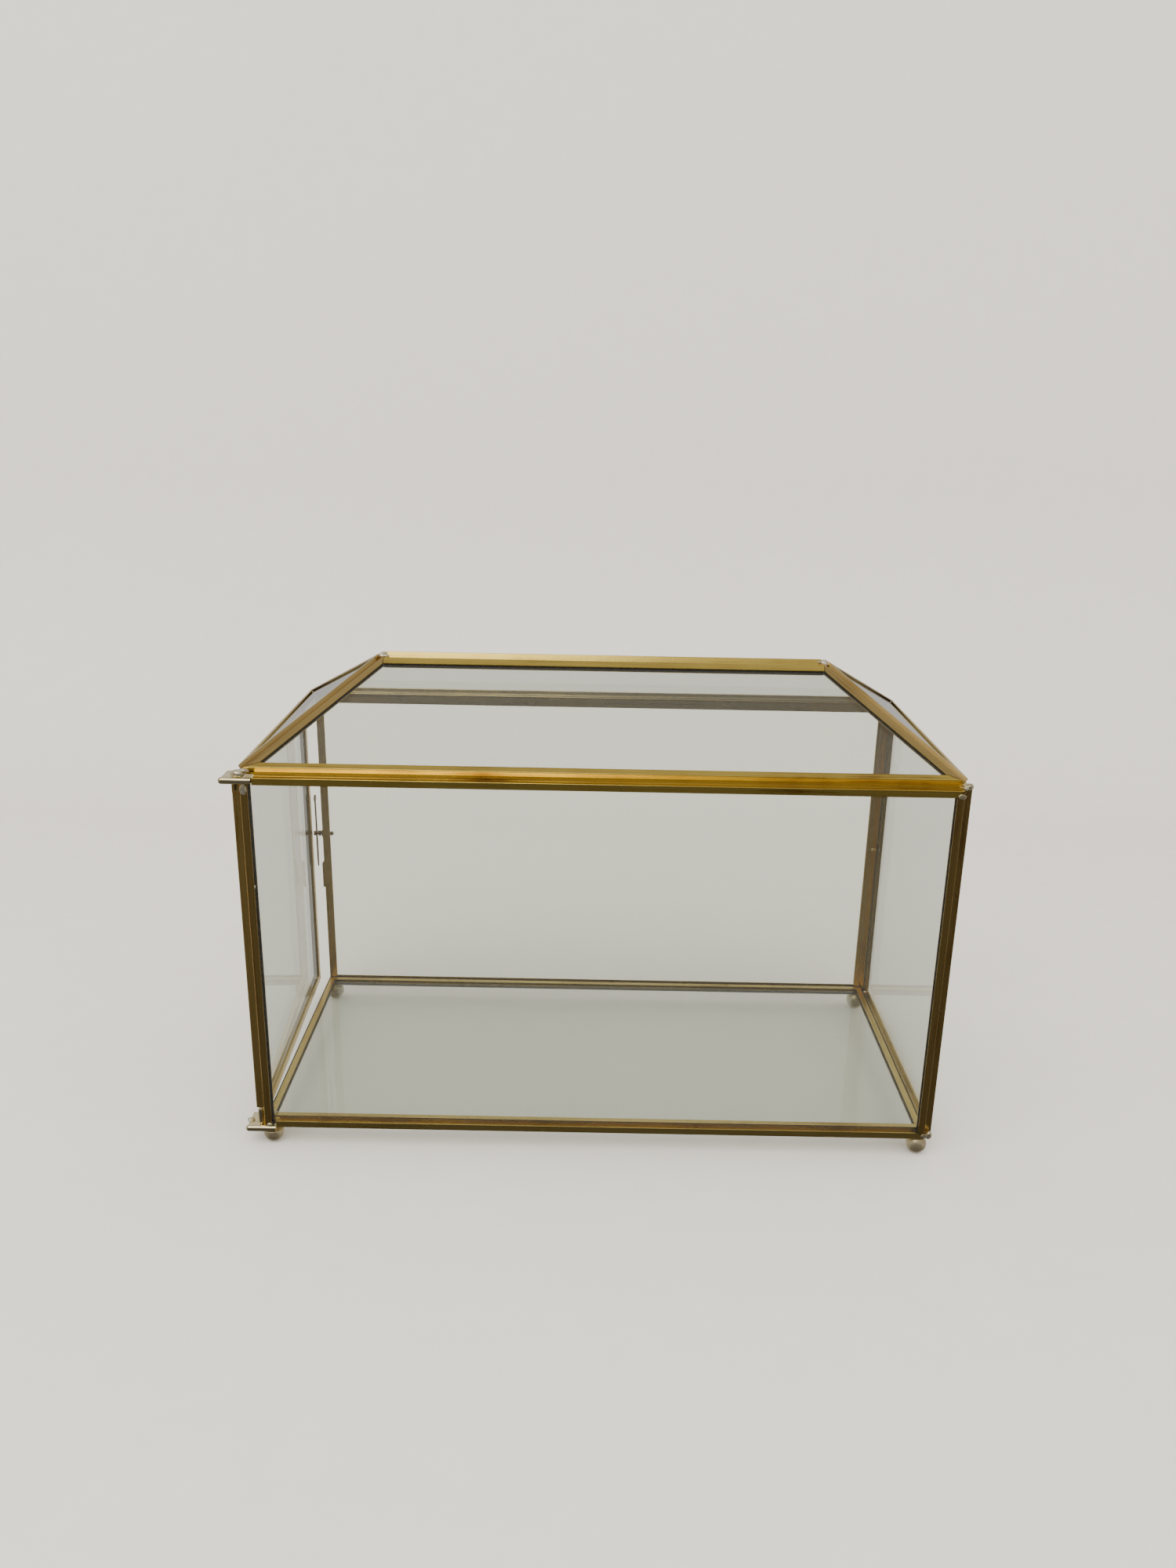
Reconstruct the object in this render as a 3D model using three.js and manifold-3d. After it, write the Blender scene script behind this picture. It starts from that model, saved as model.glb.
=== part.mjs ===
// A hip-roofed display case of brass came and clear glass, on four ball feet.
// The left end is a glass door on two pivot pins, held shut by a turn button on the rear post.
// Millimetres, +Z up, the front facing -Y. The origin is under the middle of the footprint.
import * as THREE from "three";
import { mergeVertices } from "three/addons/utils/BufferGeometryUtils.js";
import Module from "manifold-3d";

const wasm = await Module();
wasm.setup();

// ---------- driving dimensions ----------

// The clear space inside the frame, measured between the inner faces of the brass.
const INNER_WIDTH = 302;
const INNER_DEPTH = 138.6;
const EAVE_HEIGHT = 168.3; // underside of the base rails to the eave line
const ROOF_RISE = 35.3; // eave line to ridge line
const RIDGE_LENGTH = 202;

// The came: thin brass sheet folded into channels that grip the glass.
const CAME_DEPTH = 3.6; // across the glass
const SHEET = 0.45;
const OUTER_FLANGE = 3.1;
const INNER_FLANGE = 4.1; // inner widths are measured from the inner corner line
const FRONT_INNER_FLANGE = 3.6;
const FLOOR_FLANGE = 3.2;
const CORNER_SETBACK = 0.5; // how far each channel stands back from the inner corner line
const HIP_SETBACK = 1;
const HIP_INNER_FLANGE = 3.2;
const RIDGE_SETBACK = 3.4; // the front roof channel lies this far below the ridge line
const RIDGE_FLANGE = 4.1;
const RIDGE_INNER_FLANGE = 6.7;

const GLASS = 2;
const FIT_GAP = 0.3; // clearance between pieces that touch on the real case
const CORNER_TRIM = 0.6; // extra length taken off the folded corner at both ends of a rail

const FOOT_RADIUS = 4.7;
const FOOT_DROP = 4.3; // underside of the base rails to the middle of the ball
const FOOT_INSET = 2.8; // inner corner to the middle of the ball, across the width
const FOOT_INSET_DEPTH = 0.5;
const FOOT_FLAT_RADIUS = 1.3;
const FOOT_STEPS = 14; // segments from the filed top to the flat underneath

// The door covers the open left end and stands slightly ajar.
const DOOR_DEPTH = 3.2; // thickness of the door's own came
const DOOR_SHEET = 0.4;
const DOOR_GLASS = 1.8;
const DOOR_GAP = 0.5; // door to the left posts when it is shut
const DOOR_FRONT_SETBACK = 1.2; // front face of the case to the front edge of the door
const DOOR_REAR_SETBACK = 2.4;
const DOOR_LIFT = 1.8; // underside of the base rails to the door's lower edge
const DOOR_HEAD_GAP = 3.7; // door's upper edge to the eave line
const DOOR_AJAR = 2.1; // degrees
const DOOR_FLANGE = 3.6;

const PIN_SETBACK = 1; // door's front edge to the pivot axis
const PIN_SLEEVE_RADIUS = 1.25;
const PIN_SLEEVE_LENGTH = 7.4;
const TOP_SLEEVE_LENGTH = DOOR_FLANGE; // the hinge stile runs up to the foot of the top rail
const PIN_DOME = 1.6;
const PIN_RADIUS = 0.8;
const PIN_HOLE_RADIUS = 0.9;

const HINGE_PLATE_WIDTH = 13.8;
const HINGE_PLATE_DEPTH = 13;
const HINGE_PLATE_THICKNESS = 1.6;
const HINGE_BEAD_RADIUS = 1.5;
const HINGE_BEAD_PROUD = 1.1; // how far the bead stands out of the front face
const HINGE_OVERLAP = 4.8; // how far the bead runs past the corner along the front rail
const BOTTOM_PLATE_LEVEL = -0.8; // middle of the plate above the underside of the base rails
const TOP_PLATE_DROP = 1.9; // eave line down to the middle of the upper plate

const BUTTON_LEVEL = 88.7; // underside of the base rails to the turn button's axis
const BUTTON_UP = 22.3;
const BUTTON_DOWN = 19.4;
const BUTTON_WIDTH = 3;
const BUTTON_NECK = 1.35; // width just under the round grip
const BUTTON_WAIST = 2.1; // width just under the hub
const BUTTON_FOOT_WIDTH = 1.65; // width where the point starts
const BUTTON_POINT = 3.6; // length of the point
const BUTTON_THICKNESS = 0.6;
const BUTTON_BULB_RADIUS = 1.9;
const LATCH_ROD_RADIUS = 0.65;
const LATCH_BALL_RADIUS = 1.2;
const LATCH_HEAD_RADIUS = 1.3;
const LATCH_HEAD_THICKNESS = 0.8;
const LATCH_BALL_INSET = 3.8; // inner corner line to the middle of the ball
const LATCH_WASHER_RADIUS = 2;
const LATCH_WASHER_THICKNESS = 0.7;

const SOLDER_RADIUS = 2.5;
const SOLDER_OUT = 1.4; // inner corner to the middle of a lump, along each side
const SOLDER_EAVE_UP = 1;
const SOLDER_BASE_UP = 0.5;
const SOLDER_RIDGE_UP = 2;
const SOLDER_REACH = 8; // how deep a panel's space is cut out of a lump
const SOLDER_PAD = 2.6;

const TAB_HEIGHT = 15.5;
const TAB_LEVEL = 58.2; // underside of the base rails to the tab's lower end
const TAB_PROUD = 1.3;
const TAB_THICKNESS = 1.7;
const TAB_CLEAR = 0.4; // to the free edge of the door

// ---------- sizes that follow ----------

const HALF_WIDTH = INNER_WIDTH / 2;
const HALF_DEPTH = INNER_DEPTH / 2;
const HALF_RIDGE = RIDGE_LENGTH / 2;
const RIDGE_HEIGHT = EAVE_HEIGHT + ROOF_RISE;
const FRONT_FACE = -(HALF_DEPTH + CAME_DEPTH);
const REAR_FACE = HALF_DEPTH + CAME_DEPTH;
const GLASS_OFFSET = (CAME_DEPTH - GLASS) / 2;
const MITRE_GAP = FIT_GAP / 2;

const DOOR_FRONT = FRONT_FACE + DOOR_FRONT_SETBACK;
const DOOR_REAR = REAR_FACE - DOOR_REAR_SETBACK;
const DOOR_TOP = EAVE_HEIGHT - DOOR_HEAD_GAP;
const PIVOT_X = -(HALF_WIDTH + DOOR_GAP + DOOR_DEPTH / 2);
const PIVOT_Y = DOOR_FRONT + PIN_SETBACK;
const DOOR_OUTER_FACE = -(HALF_WIDTH + DOOR_GAP + DOOR_DEPTH);
const TOP_PLATE_LEVEL = EAVE_HEIGHT - TOP_PLATE_DROP;
const HINGE_RIGHT = -HALF_WIDTH + HINGE_OVERLAP;
const HINGE_BEAD_Y = FRONT_FACE - HINGE_BEAD_PROUD + HINGE_BEAD_RADIUS;
const HINGE_CLEAR = HINGE_BEAD_RADIUS + FIT_GAP; // kept free above and below the bead's middle
const SOLDER_PAD_Y = HINGE_BEAD_Y + HINGE_CLEAR + SOLDER_PAD + FIT_GAP;

const ROOF_REACH = CORNER_SETBACK + OUTER_FLANGE; // inner corner line to a channel's outer lip
const HIP_REACH = HIP_SETBACK + OUTER_FLANGE;
const RIDGE_REACH = RIDGE_SETBACK + RIDGE_FLANGE;
const SAME_PLACE = 1e-6;

// ---------- materials ----------

function finish(color, roughness, metalness) {
  return new THREE.MeshStandardMaterial({ color, roughness, metalness });
}

const brass = finish("#9a7b3c", 0.38, 1);
const brightBrass = finish("#c9a75a", 0.25, 1);
const solder = finish("#c8bd97", 0.3, 1);
const clearGlass = finish("#dfe6e0", 0.05, 0);
clearGlass.transparent = true;
clearGlass.opacity = 0.3;

// ---------- solids ----------

const fixed = new THREE.Group();
const door = new THREE.Group();

// A closed three.js geometry as a manifold-3d solid.
function solid(geometry) {
  const bare = geometry.clone();
  bare.deleteAttribute("normal");
  bare.deleteAttribute("uv");
  const merged = mergeVertices(bare, 1e-5);
  return new wasm.Manifold(
    new wasm.Mesh({
      numProp: 3,
      vertProperties: new Float32Array(merged.attributes.position.array),
      triVerts: new Uint32Array(merged.index.array),
    }),
  );
}

// The same the other way round, for a finished solid.
function geometryOf(body) {
  const mesh = body.getMesh();
  const geometry = new THREE.BufferGeometry();
  geometry.setAttribute("position", new THREE.BufferAttribute(mesh.vertProperties, 3));
  geometry.setIndex(new THREE.BufferAttribute(mesh.triVerts, 1));
  geometry.computeVertexNormals();
  return geometry;
}

function place(parent, name, body, material) {
  const mesh = new THREE.Mesh(geometryOf(body), material);
  mesh.name = name;
  parent.add(mesh);
  return mesh;
}

function join(bodies) {
  return bodies.reduce((whole, body) => whole.add(body));
}

function cut(body, cutters) {
  return cutters.reduce((rest, cutter) => rest.subtract(cutter), body);
}

// A box between two opposite corners.
function box(low, high) {
  const size = high.map((value, axis) => value - low[axis]);
  const geometry = new THREE.BoxGeometry(...size);
  geometry.translate(...low.map((value, axis) => value + size[axis] / 2));
  return solid(geometry);
}

// A cylinder from one point to another along X, Y or Z.
function rod(from, to, radius, sides = 20) {
  const start = new THREE.Vector3(...from);
  const end = new THREE.Vector3(...to);
  const geometry = new THREE.CylinderGeometry(radius, radius, start.distanceTo(end), sides);
  const along = end.clone().sub(start).normalize();
  geometry.applyQuaternion(
    new THREE.Quaternion().setFromUnitVectors(new THREE.Vector3(0, 1, 0), along),
  );
  geometry.translate(...start.add(end).multiplyScalar(0.5));
  return solid(geometry);
}

function ball(centre, radius, sides = 20) {
  const geometry = new THREE.SphereGeometry(radius, sides, Math.round(sides * 0.7));
  geometry.rotateX(Math.PI / 2);
  geometry.translate(...centre);
  return solid(geometry);
}

function outline(points) {
  return new THREE.Shape(points.map(([x, y]) => new THREE.Vector2(x, y)));
}

// ---------- panels ----------

// A panel is one flat face of the space inside, with its corners anticlockwise seen from outside.
// Its brass and glass lie outside the face. Places on it are given as (along an edge, in from
// that edge, out from the face).
function panel(corners) {
  const points = corners.map((corner) => new THREE.Vector3(...corner));
  const count = points.length;
  const first = points[1].clone().sub(points[0]);
  const second = points[2].clone().sub(points[1]);
  const normal = first.cross(second).normalize();
  const edges = points.map((start, i) => {
    const end = points[(i + 1) % count];
    const along = end.clone().sub(start);
    const length = along.length();
    along.normalize();
    return { start, end, along, length, inward: normal.clone().cross(along) };
  });
  const halfAngles = edges.map((edge, i) => {
    const before = edges[(i + count - 1) % count];
    return (Math.PI - before.along.angleTo(edge.along)) / 2;
  });
  return { points, normal, edges, halfAngles };
}

// Moves every corner of a panel in from its edges; setbacks holds one distance for each edge.
function insetCorners(face, setbacks) {
  return face.edges.map((edge, i) => {
    const count = face.edges.length;
    const before = face.edges[(i + count - 1) % count];
    const own = setbacks[i];
    const other = setbacks[(i + count - 1) % count];
    const corner = 2 * face.halfAngles[i];
    const slide = (other + own * Math.cos(corner)) / Math.sin(corner);
    return edge.start.clone().addScaledVector(edge.inward, own).addScaledVector(edge.along, slide);
  });
}

// A flat plate over the given corners, between two distances out from the face.
function plateOver(face, corners, low, high) {
  const across = face.edges[0].along;
  const up = face.normal.clone().cross(across);
  const flat = corners.map((corner) => {
    const from = corner.clone().sub(face.points[0]);
    return [from.dot(across), from.dot(up)];
  });
  const geometry = new THREE.ExtrudeGeometry(outline(flat), {
    depth: high - low,
    bevelEnabled: false,
  });
  const origin = face.points[0].clone().addScaledVector(face.normal, low);
  const frame = new THREE.Matrix4().makeBasis(across, up, face.normal).setPosition(origin);
  return solid(geometry.applyMatrix4(frame));
}

// A strip along one edge of a panel, with its section given as (in, out) points.
// Both ends are mitred to the neighbouring strips, or square where from or to is given. Where a
// neighbour is wider or narrower, the slant is its width as a share of this strip's width.
function strip(face, index, section, { from, to, startSlant = 1, endSlant = 1 } = {}) {
  const edge = face.edges[index];
  const next = (index + 1) % face.edges.length;
  const geometry = new THREE.ExtrudeGeometry(outline(section), {
    depth: 1,
    bevelEnabled: false,
  });
  const position = geometry.attributes.position;
  const point = new THREE.Vector3();
  for (let i = 0; i < position.count; i += 1) {
    const inward = position.getX(i);
    const outward = position.getY(i);
    const atStart = position.getZ(i) < 0.5;
    const corner = 2 * face.halfAngles[atStart ? index : next];
    const slant = atStart ? startSlant : endSlant;
    const run = (slant + Math.cos(corner)) / Math.sin(corner);
    const mitre = inward * run + MITRE_GAP * Math.hypot(1, run);
    const start = from ?? mitre;
    const end = to ?? edge.length - mitre;
    point.copy(edge.start);
    point.addScaledVector(edge.along, atStart ? start : end);
    point.addScaledVector(edge.inward, inward);
    point.addScaledVector(face.normal, outward);
    position.setXYZ(i, point.x, point.y, point.z);
  }
  return solid(geometry);
}

// The folded channel that grips one edge of a panel's glass.
function channelSection({
  setback = CORNER_SETBACK,
  flange = OUTER_FLANGE,
  inner = INNER_FLANGE,
  depth = CAME_DEPTH,
  sheet = SHEET,
} = {}) {
  const lip = sheet / 3;
  const bottom = Math.min(lip, setback);
  return [
    [bottom, 0],
    [inner, 0],
    [inner, sheet],
    [setback + sheet, sheet],
    [setback + sheet, depth - sheet],
    [setback + flange, depth - sheet],
    [setback + flange, depth],
    [setback + sheet * 0.6, depth],
    [setback + sheet * 0.2, depth - sheet * 0.2],
    [setback, depth - sheet * 0.6],
    [setback, sheet],
    [bottom, sheet],
  ].filter(([x, y], i, all) => {
    const [a, b] = all[(i + all.length - 1) % all.length];
    return Math.hypot(x - a, y - b) > SAME_PLACE;
  });
}

// A base rail's wall part has no inner flange: the floor channel stands there instead.
function wallFootSection() {
  const clear = SHEET / 3;
  return [
    [0, clear],
    [SHEET, clear],
    [SHEET, CAME_DEPTH - SHEET],
    [OUTER_FLANGE, CAME_DEPTH - SHEET],
    [OUTER_FLANGE, CAME_DEPTH],
    [SHEET * 0.6, CAME_DEPTH],
    [SHEET * 0.2, CAME_DEPTH - SHEET * 0.2],
    [0, CAME_DEPTH - SHEET * 0.6],
  ];
}

// The folded corner that joins the two channels of a rail, along the edge the panels share.
function fold(faceA, indexA, faceB, { from = 0, to = 0 } = {}) {
  const edge = faceA.edges[indexA];
  const meets = (a, b) => a.distanceTo(b) < SAME_PLACE;
  const edgeB = faceB.edges.find(
    (other) => meets(other.start, edge.end) && meets(other.end, edge.start),
  );
  const reach = CORNER_SETBACK + SHEET / 2;
  const spread = 1 + faceA.normal.dot(faceB.normal);
  const corner = faceA.normal.clone().add(faceB.normal).multiplyScalar(SHEET / spread);
  const at = (face, inward, out) =>
    inward.clone().multiplyScalar(reach).addScaledVector(face.normal, out);
  const ring = [
    at(faceA, edge.inward, SHEET),
    at(faceA, edge.inward, 0),
    new THREE.Vector3(),
    at(faceB, edgeB.inward, 0),
    at(faceB, edgeB.inward, SHEET),
    corner,
  ];
  const across = edge.inward;
  const up = faceA.normal;
  const section = ring.map((point) => [point.dot(across), point.dot(up)]);
  const trim = (angle) => reach / Math.tan(angle) + MITRE_GAP / Math.sin(angle) + CORNER_TRIM;
  const anglesAt = (point) =>
    [faceA, faceB].map((face) => {
      const i = face.points.findIndex((p) => p.distanceTo(point) < SAME_PLACE);
      return face.halfAngles[i];
    });
  const startTrim = Math.max(from, ...anglesAt(edge.start).map(trim));
  const endTrim = Math.max(to, ...anglesAt(edge.end).map(trim));
  const geometry = new THREE.ExtrudeGeometry(outline(section), {
    depth: edge.length - startTrim - endTrim,
    bevelEnabled: false,
  });
  const origin = edge.start.clone().addScaledVector(edge.along, startTrim);
  const frame = new THREE.Matrix4().makeBasis(across, up, edge.along).setPosition(origin);
  return solid(geometry.applyMatrix4(frame));
}

// The edge of a panel that runs between two named corners, whichever way round.
function edgeBetween(face, a, b) {
  return face.edges.findIndex((edge) => {
    const ends = [edge.start, edge.end];
    return [a, b].every((corner) => {
      const point = new THREE.Vector3(...corner);
      return ends.some((end) => end.distanceTo(point) < SAME_PLACE);
    });
  });
}

// ---------- the space inside, as corners and panels ----------

const W = HALF_WIDTH;
const D = HALF_DEPTH;
const base = {
  frontLeft: [-W, -D, 0],
  frontRight: [W, -D, 0],
  rearRight: [W, D, 0],
  rearLeft: [-W, D, 0],
};
const eave = {
  frontLeft: [-W, -D, EAVE_HEIGHT],
  frontRight: [W, -D, EAVE_HEIGHT],
  rearRight: [W, D, EAVE_HEIGHT],
  rearLeft: [-W, D, EAVE_HEIGHT],
};
const ridge = {
  left: [-HALF_RIDGE, 0, RIDGE_HEIGHT],
  right: [HALF_RIDGE, 0, RIDGE_HEIGHT],
};
const floorLevel = ([x, y]) => [x, y, CAME_DEPTH];

const frontWall = panel([base.frontLeft, base.frontRight, eave.frontRight, eave.frontLeft]);
const rightWall = panel([base.frontRight, base.rearRight, eave.rearRight, eave.frontRight]);
const rearWall = panel([base.rearRight, base.rearLeft, eave.rearLeft, eave.rearRight]);
const roofFront = panel([eave.frontLeft, eave.frontRight, ridge.right, ridge.left]);
const roofRight = panel([eave.frontRight, eave.rearRight, ridge.right]);
const roofRear = panel([eave.rearRight, eave.rearLeft, ridge.left, ridge.right]);
const roofLeft = panel([eave.rearLeft, eave.frontLeft, ridge.left]);
const floor = panel(
  [base.frontLeft, base.rearLeft, base.rearRight, base.frontRight].map(floorLevel),
);

// ---------- base rails ----------

const floorSection = channelSection({
  setback: 0,
  flange: FLOOR_FLANGE,
  inner: FLOOR_FLANGE,
});

// The floor channel stands inside the foot of the wall channel, joined along the bottom.
function baseRail(wall, from, to, ends = {}) {
  const floorIndex = edgeBetween(floor, floorLevel(from), floorLevel(to));
  const wallIndex = edgeBetween(wall, from, to);
  const lap = SHEET * 0.7;
  const tie = [
    [0, -lap],
    [SHEET, -lap],
    [SHEET, 2 * lap],
    [0, 2 * lap],
  ];
  const length = wall.edges[wallIndex].length;
  const trim = 2 * SHEET + CORNER_TRIM;
  const tieEnds = { from: Math.max(trim, ends.from ?? 0), to: length - trim };
  return join([
    strip(floor, floorIndex, floorSection),
    strip(wall, wallIndex, wallFootSection(), ends),
    strip(wall, wallIndex, tie, tieEnds),
  ]);
}

const leftStart = HINGE_OVERLAP + FIT_GAP;
place(
  fixed,
  "base_rail_front",
  baseRail(frontWall, base.frontLeft, base.frontRight, { from: leftStart }),
  brass,
);
place(fixed, "base_rail_right", baseRail(rightWall, base.frontRight, base.rearRight), brass);
place(fixed, "base_rail_rear", baseRail(rearWall, base.rearRight, base.rearLeft), brass);
const leftFloorEdge = edgeBetween(floor, floorLevel(base.frontLeft), floorLevel(base.rearLeft));
place(fixed, "base_rail_left", strip(floor, leftFloorEdge, floorSection), brass);

// ---------- posts, eaves, hips and ridge ----------

// A rail of two channels folded together along the edge that two panels share.
function cornerRail(faceA, faceB, a, b, { sectionA, endsA, endsB, foldEnds } = {}) {
  const indexA = edgeBetween(faceA, a, b);
  const indexB = edgeBetween(faceB, a, b);
  return join([
    strip(faceA, indexA, channelSection(sectionA), endsA),
    strip(faceB, indexB, channelSection(), endsB),
    fold(faceA, indexA, faceB, foldEnds),
  ]);
}

const sidePost = channelSection({ setback: 0, inner: INNER_FLANGE });
const frontChannel = { inner: FRONT_INNER_FLANGE };
// The front left post stands between the beads of the two hinge plates.
const hingePostEnds = {
  from: EAVE_HEIGHT - TOP_PLATE_LEVEL + HINGE_CLEAR,
  to: EAVE_HEIGHT - BOTTOM_PLATE_LEVEL - HINGE_CLEAR,
};
const hingePostEdge = edgeBetween(frontWall, eave.frontLeft, base.frontLeft);
place(
  fixed,
  "corner_post_front_left",
  strip(
    frontWall,
    hingePostEdge,
    channelSection({ setback: 0, ...frontChannel }),
    hingePostEnds,
  ),
  brass,
);
place(
  fixed,
  "corner_post_rear_left",
  strip(rearWall, edgeBetween(rearWall, base.rearLeft, eave.rearLeft), sidePost),
  brass,
);
place(
  fixed,
  "corner_post_front_right",
  cornerRail(frontWall, rightWall, base.frontRight, eave.frontRight, {
    sectionA: frontChannel,
  }),
  brass,
);
place(
  fixed,
  "corner_post_rear_right",
  cornerRail(rightWall, rearWall, base.rearRight, eave.rearRight),
  brass,
);

const eaveToHip = HIP_REACH / ROOF_REACH;
place(
  fixed,
  "eave_rail_front",
  cornerRail(frontWall, roofFront, eave.frontLeft, eave.frontRight, {
    sectionA: frontChannel,
    endsA: { to: INNER_WIDTH - leftStart },
    endsB: { startSlant: eaveToHip, endSlant: eaveToHip },
    foldEnds: { to: leftStart },
  }),
  brass,
);
place(
  fixed,
  "eave_rail_right",
  cornerRail(rightWall, roofRight, eave.frontRight, eave.rearRight),
  brass,
);
place(
  fixed,
  "eave_rail_rear",
  cornerRail(rearWall, roofRear, eave.rearRight, eave.rearLeft),
  brass,
);
place(
  fixed,
  "eave_rail_left",
  strip(roofLeft, edgeBetween(roofLeft, eave.frontLeft, eave.rearLeft), channelSection()),
  brass,
);

const frontHip = { setback: HIP_SETBACK, inner: HIP_INNER_FLANGE };
const hipToEave = ROOF_REACH / HIP_REACH;
const hipToRidge = RIDGE_REACH / HIP_REACH;
place(
  fixed,
  "hip_rail_front_left",
  cornerRail(roofFront, roofLeft, eave.frontLeft, ridge.left, {
    sectionA: frontHip,
    endsA: { startSlant: hipToRidge, endSlant: hipToEave },
  }),
  brass,
);
place(
  fixed,
  "hip_rail_front_right",
  cornerRail(roofFront, roofRight, eave.frontRight, ridge.right, {
    sectionA: frontHip,
    endsA: { startSlant: hipToEave, endSlant: hipToRidge },
  }),
  brass,
);
place(
  fixed,
  "hip_rail_rear_left",
  cornerRail(roofRear, roofLeft, eave.rearLeft, ridge.left),
  brass,
);
place(
  fixed,
  "hip_rail_rear_right",
  cornerRail(roofRear, roofRight, eave.rearRight, ridge.right),
  brass,
);
place(
  fixed,
  "ridge_rail",
  cornerRail(roofFront, roofRear, ridge.left, ridge.right, {
    sectionA: { setback: RIDGE_SETBACK, flange: RIDGE_FLANGE, inner: RIDGE_INNER_FLANGE },
    endsA: { startSlant: 1 / hipToRidge, endSlant: 1 / hipToRidge },
  }),
  brass,
);

// ---------- glass ----------

const glassReach = (setback) => setback + SHEET + FIT_GAP;
const glassIn = glassReach(CORNER_SETBACK);

function pane(name, face, setbacks, nips = []) {
  const corners = insetCorners(face, setbacks);
  const whole = plateOver(face, corners, GLASS_OFFSET, GLASS_OFFSET + GLASS);
  place(fixed, name, cut(whole, nips), clearGlass);
}

// The front pane's upper left corner is nipped off behind the bead of the upper hinge plate.
const hingeNip = box(
  [-HALF_WIDTH, FRONT_FACE, TOP_PLATE_LEVEL - HINGE_CLEAR],
  [HINGE_RIGHT + FIT_GAP, -HALF_DEPTH, EAVE_HEIGHT],
);
const evenly = (face) => face.edges.map(() => glassIn);
pane("glass_front", frontWall, evenly(frontWall), [hingeNip]);
pane("glass_right", rightWall, evenly(rightWall));
pane("glass_rear", rearWall, evenly(rearWall));
pane("glass_floor", floor, floor.edges.map(() => glassReach(0)));
const roofFrontSetbacks = [
  glassIn,
  glassReach(HIP_SETBACK),
  glassReach(RIDGE_SETBACK),
  glassReach(HIP_SETBACK),
];
pane("glass_roof_front", roofFront, roofFrontSetbacks);
pane("glass_roof_right", roofRight, evenly(roofRight));
pane("glass_roof_rear", roofRear, evenly(roofRear));
pane("glass_roof_left", roofLeft, evenly(roofLeft));

// ---------- feet ----------

// A brass ball with a flat on top, soldered under the corner, and a small flat to stand on.
function foot(x, y, topLevel) {
  const topAngle = Math.acos((FOOT_DROP + topLevel) / FOOT_RADIUS);
  const bottomAngle = Math.PI - Math.asin(FOOT_FLAT_RADIUS / FOOT_RADIUS);
  const profile = [new THREE.Vector2(0, FOOT_RADIUS * Math.cos(bottomAngle))];
  for (let i = FOOT_STEPS; i >= 0; i -= 1) {
    const angle = topAngle + ((bottomAngle - topAngle) * i) / FOOT_STEPS;
    profile.push(
      new THREE.Vector2(FOOT_RADIUS * Math.sin(angle), FOOT_RADIUS * Math.cos(angle)),
    );
  }
  profile.push(new THREE.Vector2(0, FOOT_RADIUS * Math.cos(topAngle)));
  const geometry = new THREE.LatheGeometry(profile, 28);
  geometry.rotateX(Math.PI / 2);
  geometry.translate(x, y, -FOOT_DROP);
  return solid(geometry);
}

const footX = HALF_WIDTH - FOOT_INSET;
const footY = HALF_DEPTH - FOOT_INSET_DEPTH;
const hingeFootTop = BOTTOM_PLATE_LEVEL - HINGE_CLEAR;
place(fixed, "foot_front_left", foot(-footX, -footY, hingeFootTop), brightBrass);
place(fixed, "foot_front_right", foot(footX, -footY, -FIT_GAP), brightBrass);
place(fixed, "foot_rear_left", foot(-footX, footY, -FIT_GAP), brightBrass);
place(fixed, "foot_rear_right", foot(footX, footY, -FIT_GAP), brightBrass);

// ---------- hinge plates ----------

// A brass tab outside the left end, with a rolled bead along its front edge that is soldered
// across the corner. The pivot pin turns in a hole through the tab.
// With a margin it is the plain space that has to stay free round the plate.
function hingePlate(level, margin = 0) {
  const radius = HINGE_BEAD_RADIUS + margin;
  const left = HINGE_RIGHT - HINGE_PLATE_WIDTH + HINGE_BEAD_RADIUS;
  const half = HINGE_PLATE_THICKNESS / 2 + margin;
  const tabRear = FRONT_FACE - HINGE_BEAD_PROUD + HINGE_PLATE_DEPTH;
  const bead = rod(
    [left, HINGE_BEAD_Y, level],
    [HINGE_RIGHT + margin, HINGE_BEAD_Y, level],
    radius,
  );
  const end = ball([left, HINGE_BEAD_Y, level], radius);
  const tab = box(
    [left - HINGE_BEAD_RADIUS / 2 - margin, HINGE_BEAD_Y, level - half],
    [-HALF_WIDTH - FIT_GAP + margin, tabRear + margin, level + half],
  );
  const plate = join([bead, end, tab]);
  if (margin > 0) {
    return plate;
  }
  const hole = rod(
    [PIVOT_X, PIVOT_Y, level - 3 * half],
    [PIVOT_X, PIVOT_Y, level + 3 * half],
    PIN_HOLE_RADIUS,
  );
  return plate.subtract(hole);
}

place(fixed, "hinge_plate_bottom", hingePlate(BOTTOM_PLATE_LEVEL), brightBrass);
place(fixed, "hinge_plate_top", hingePlate(TOP_PLATE_LEVEL), brightBrass);

// ---------- door ----------

// The door is drawn shut, in its own frame about the pivot axis, and then turned ajar.
const doorFace = panel([
  [DOOR_DEPTH / 2, DOOR_REAR - PIVOT_Y, DOOR_LIFT],
  [DOOR_DEPTH / 2, -PIN_SETBACK, DOOR_LIFT],
  [DOOR_DEPTH / 2, -PIN_SETBACK, DOOR_TOP],
  [DOOR_DEPTH / 2, DOOR_REAR - PIVOT_Y, DOOR_TOP],
]);
const doorSection = channelSection({
  setback: 0,
  flange: DOOR_FLANGE,
  inner: DOOR_FLANGE,
  depth: DOOR_DEPTH,
  sheet: DOOR_SHEET,
});
const [bottomEdge, hingeEdge, topEdge, latchEdge] = [0, 1, 2, 3];
const sleeveClear = PIN_SETBACK + PIN_SLEEVE_RADIUS + FIT_GAP;
const doorLength = doorFace.edges[bottomEdge].length;
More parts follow.
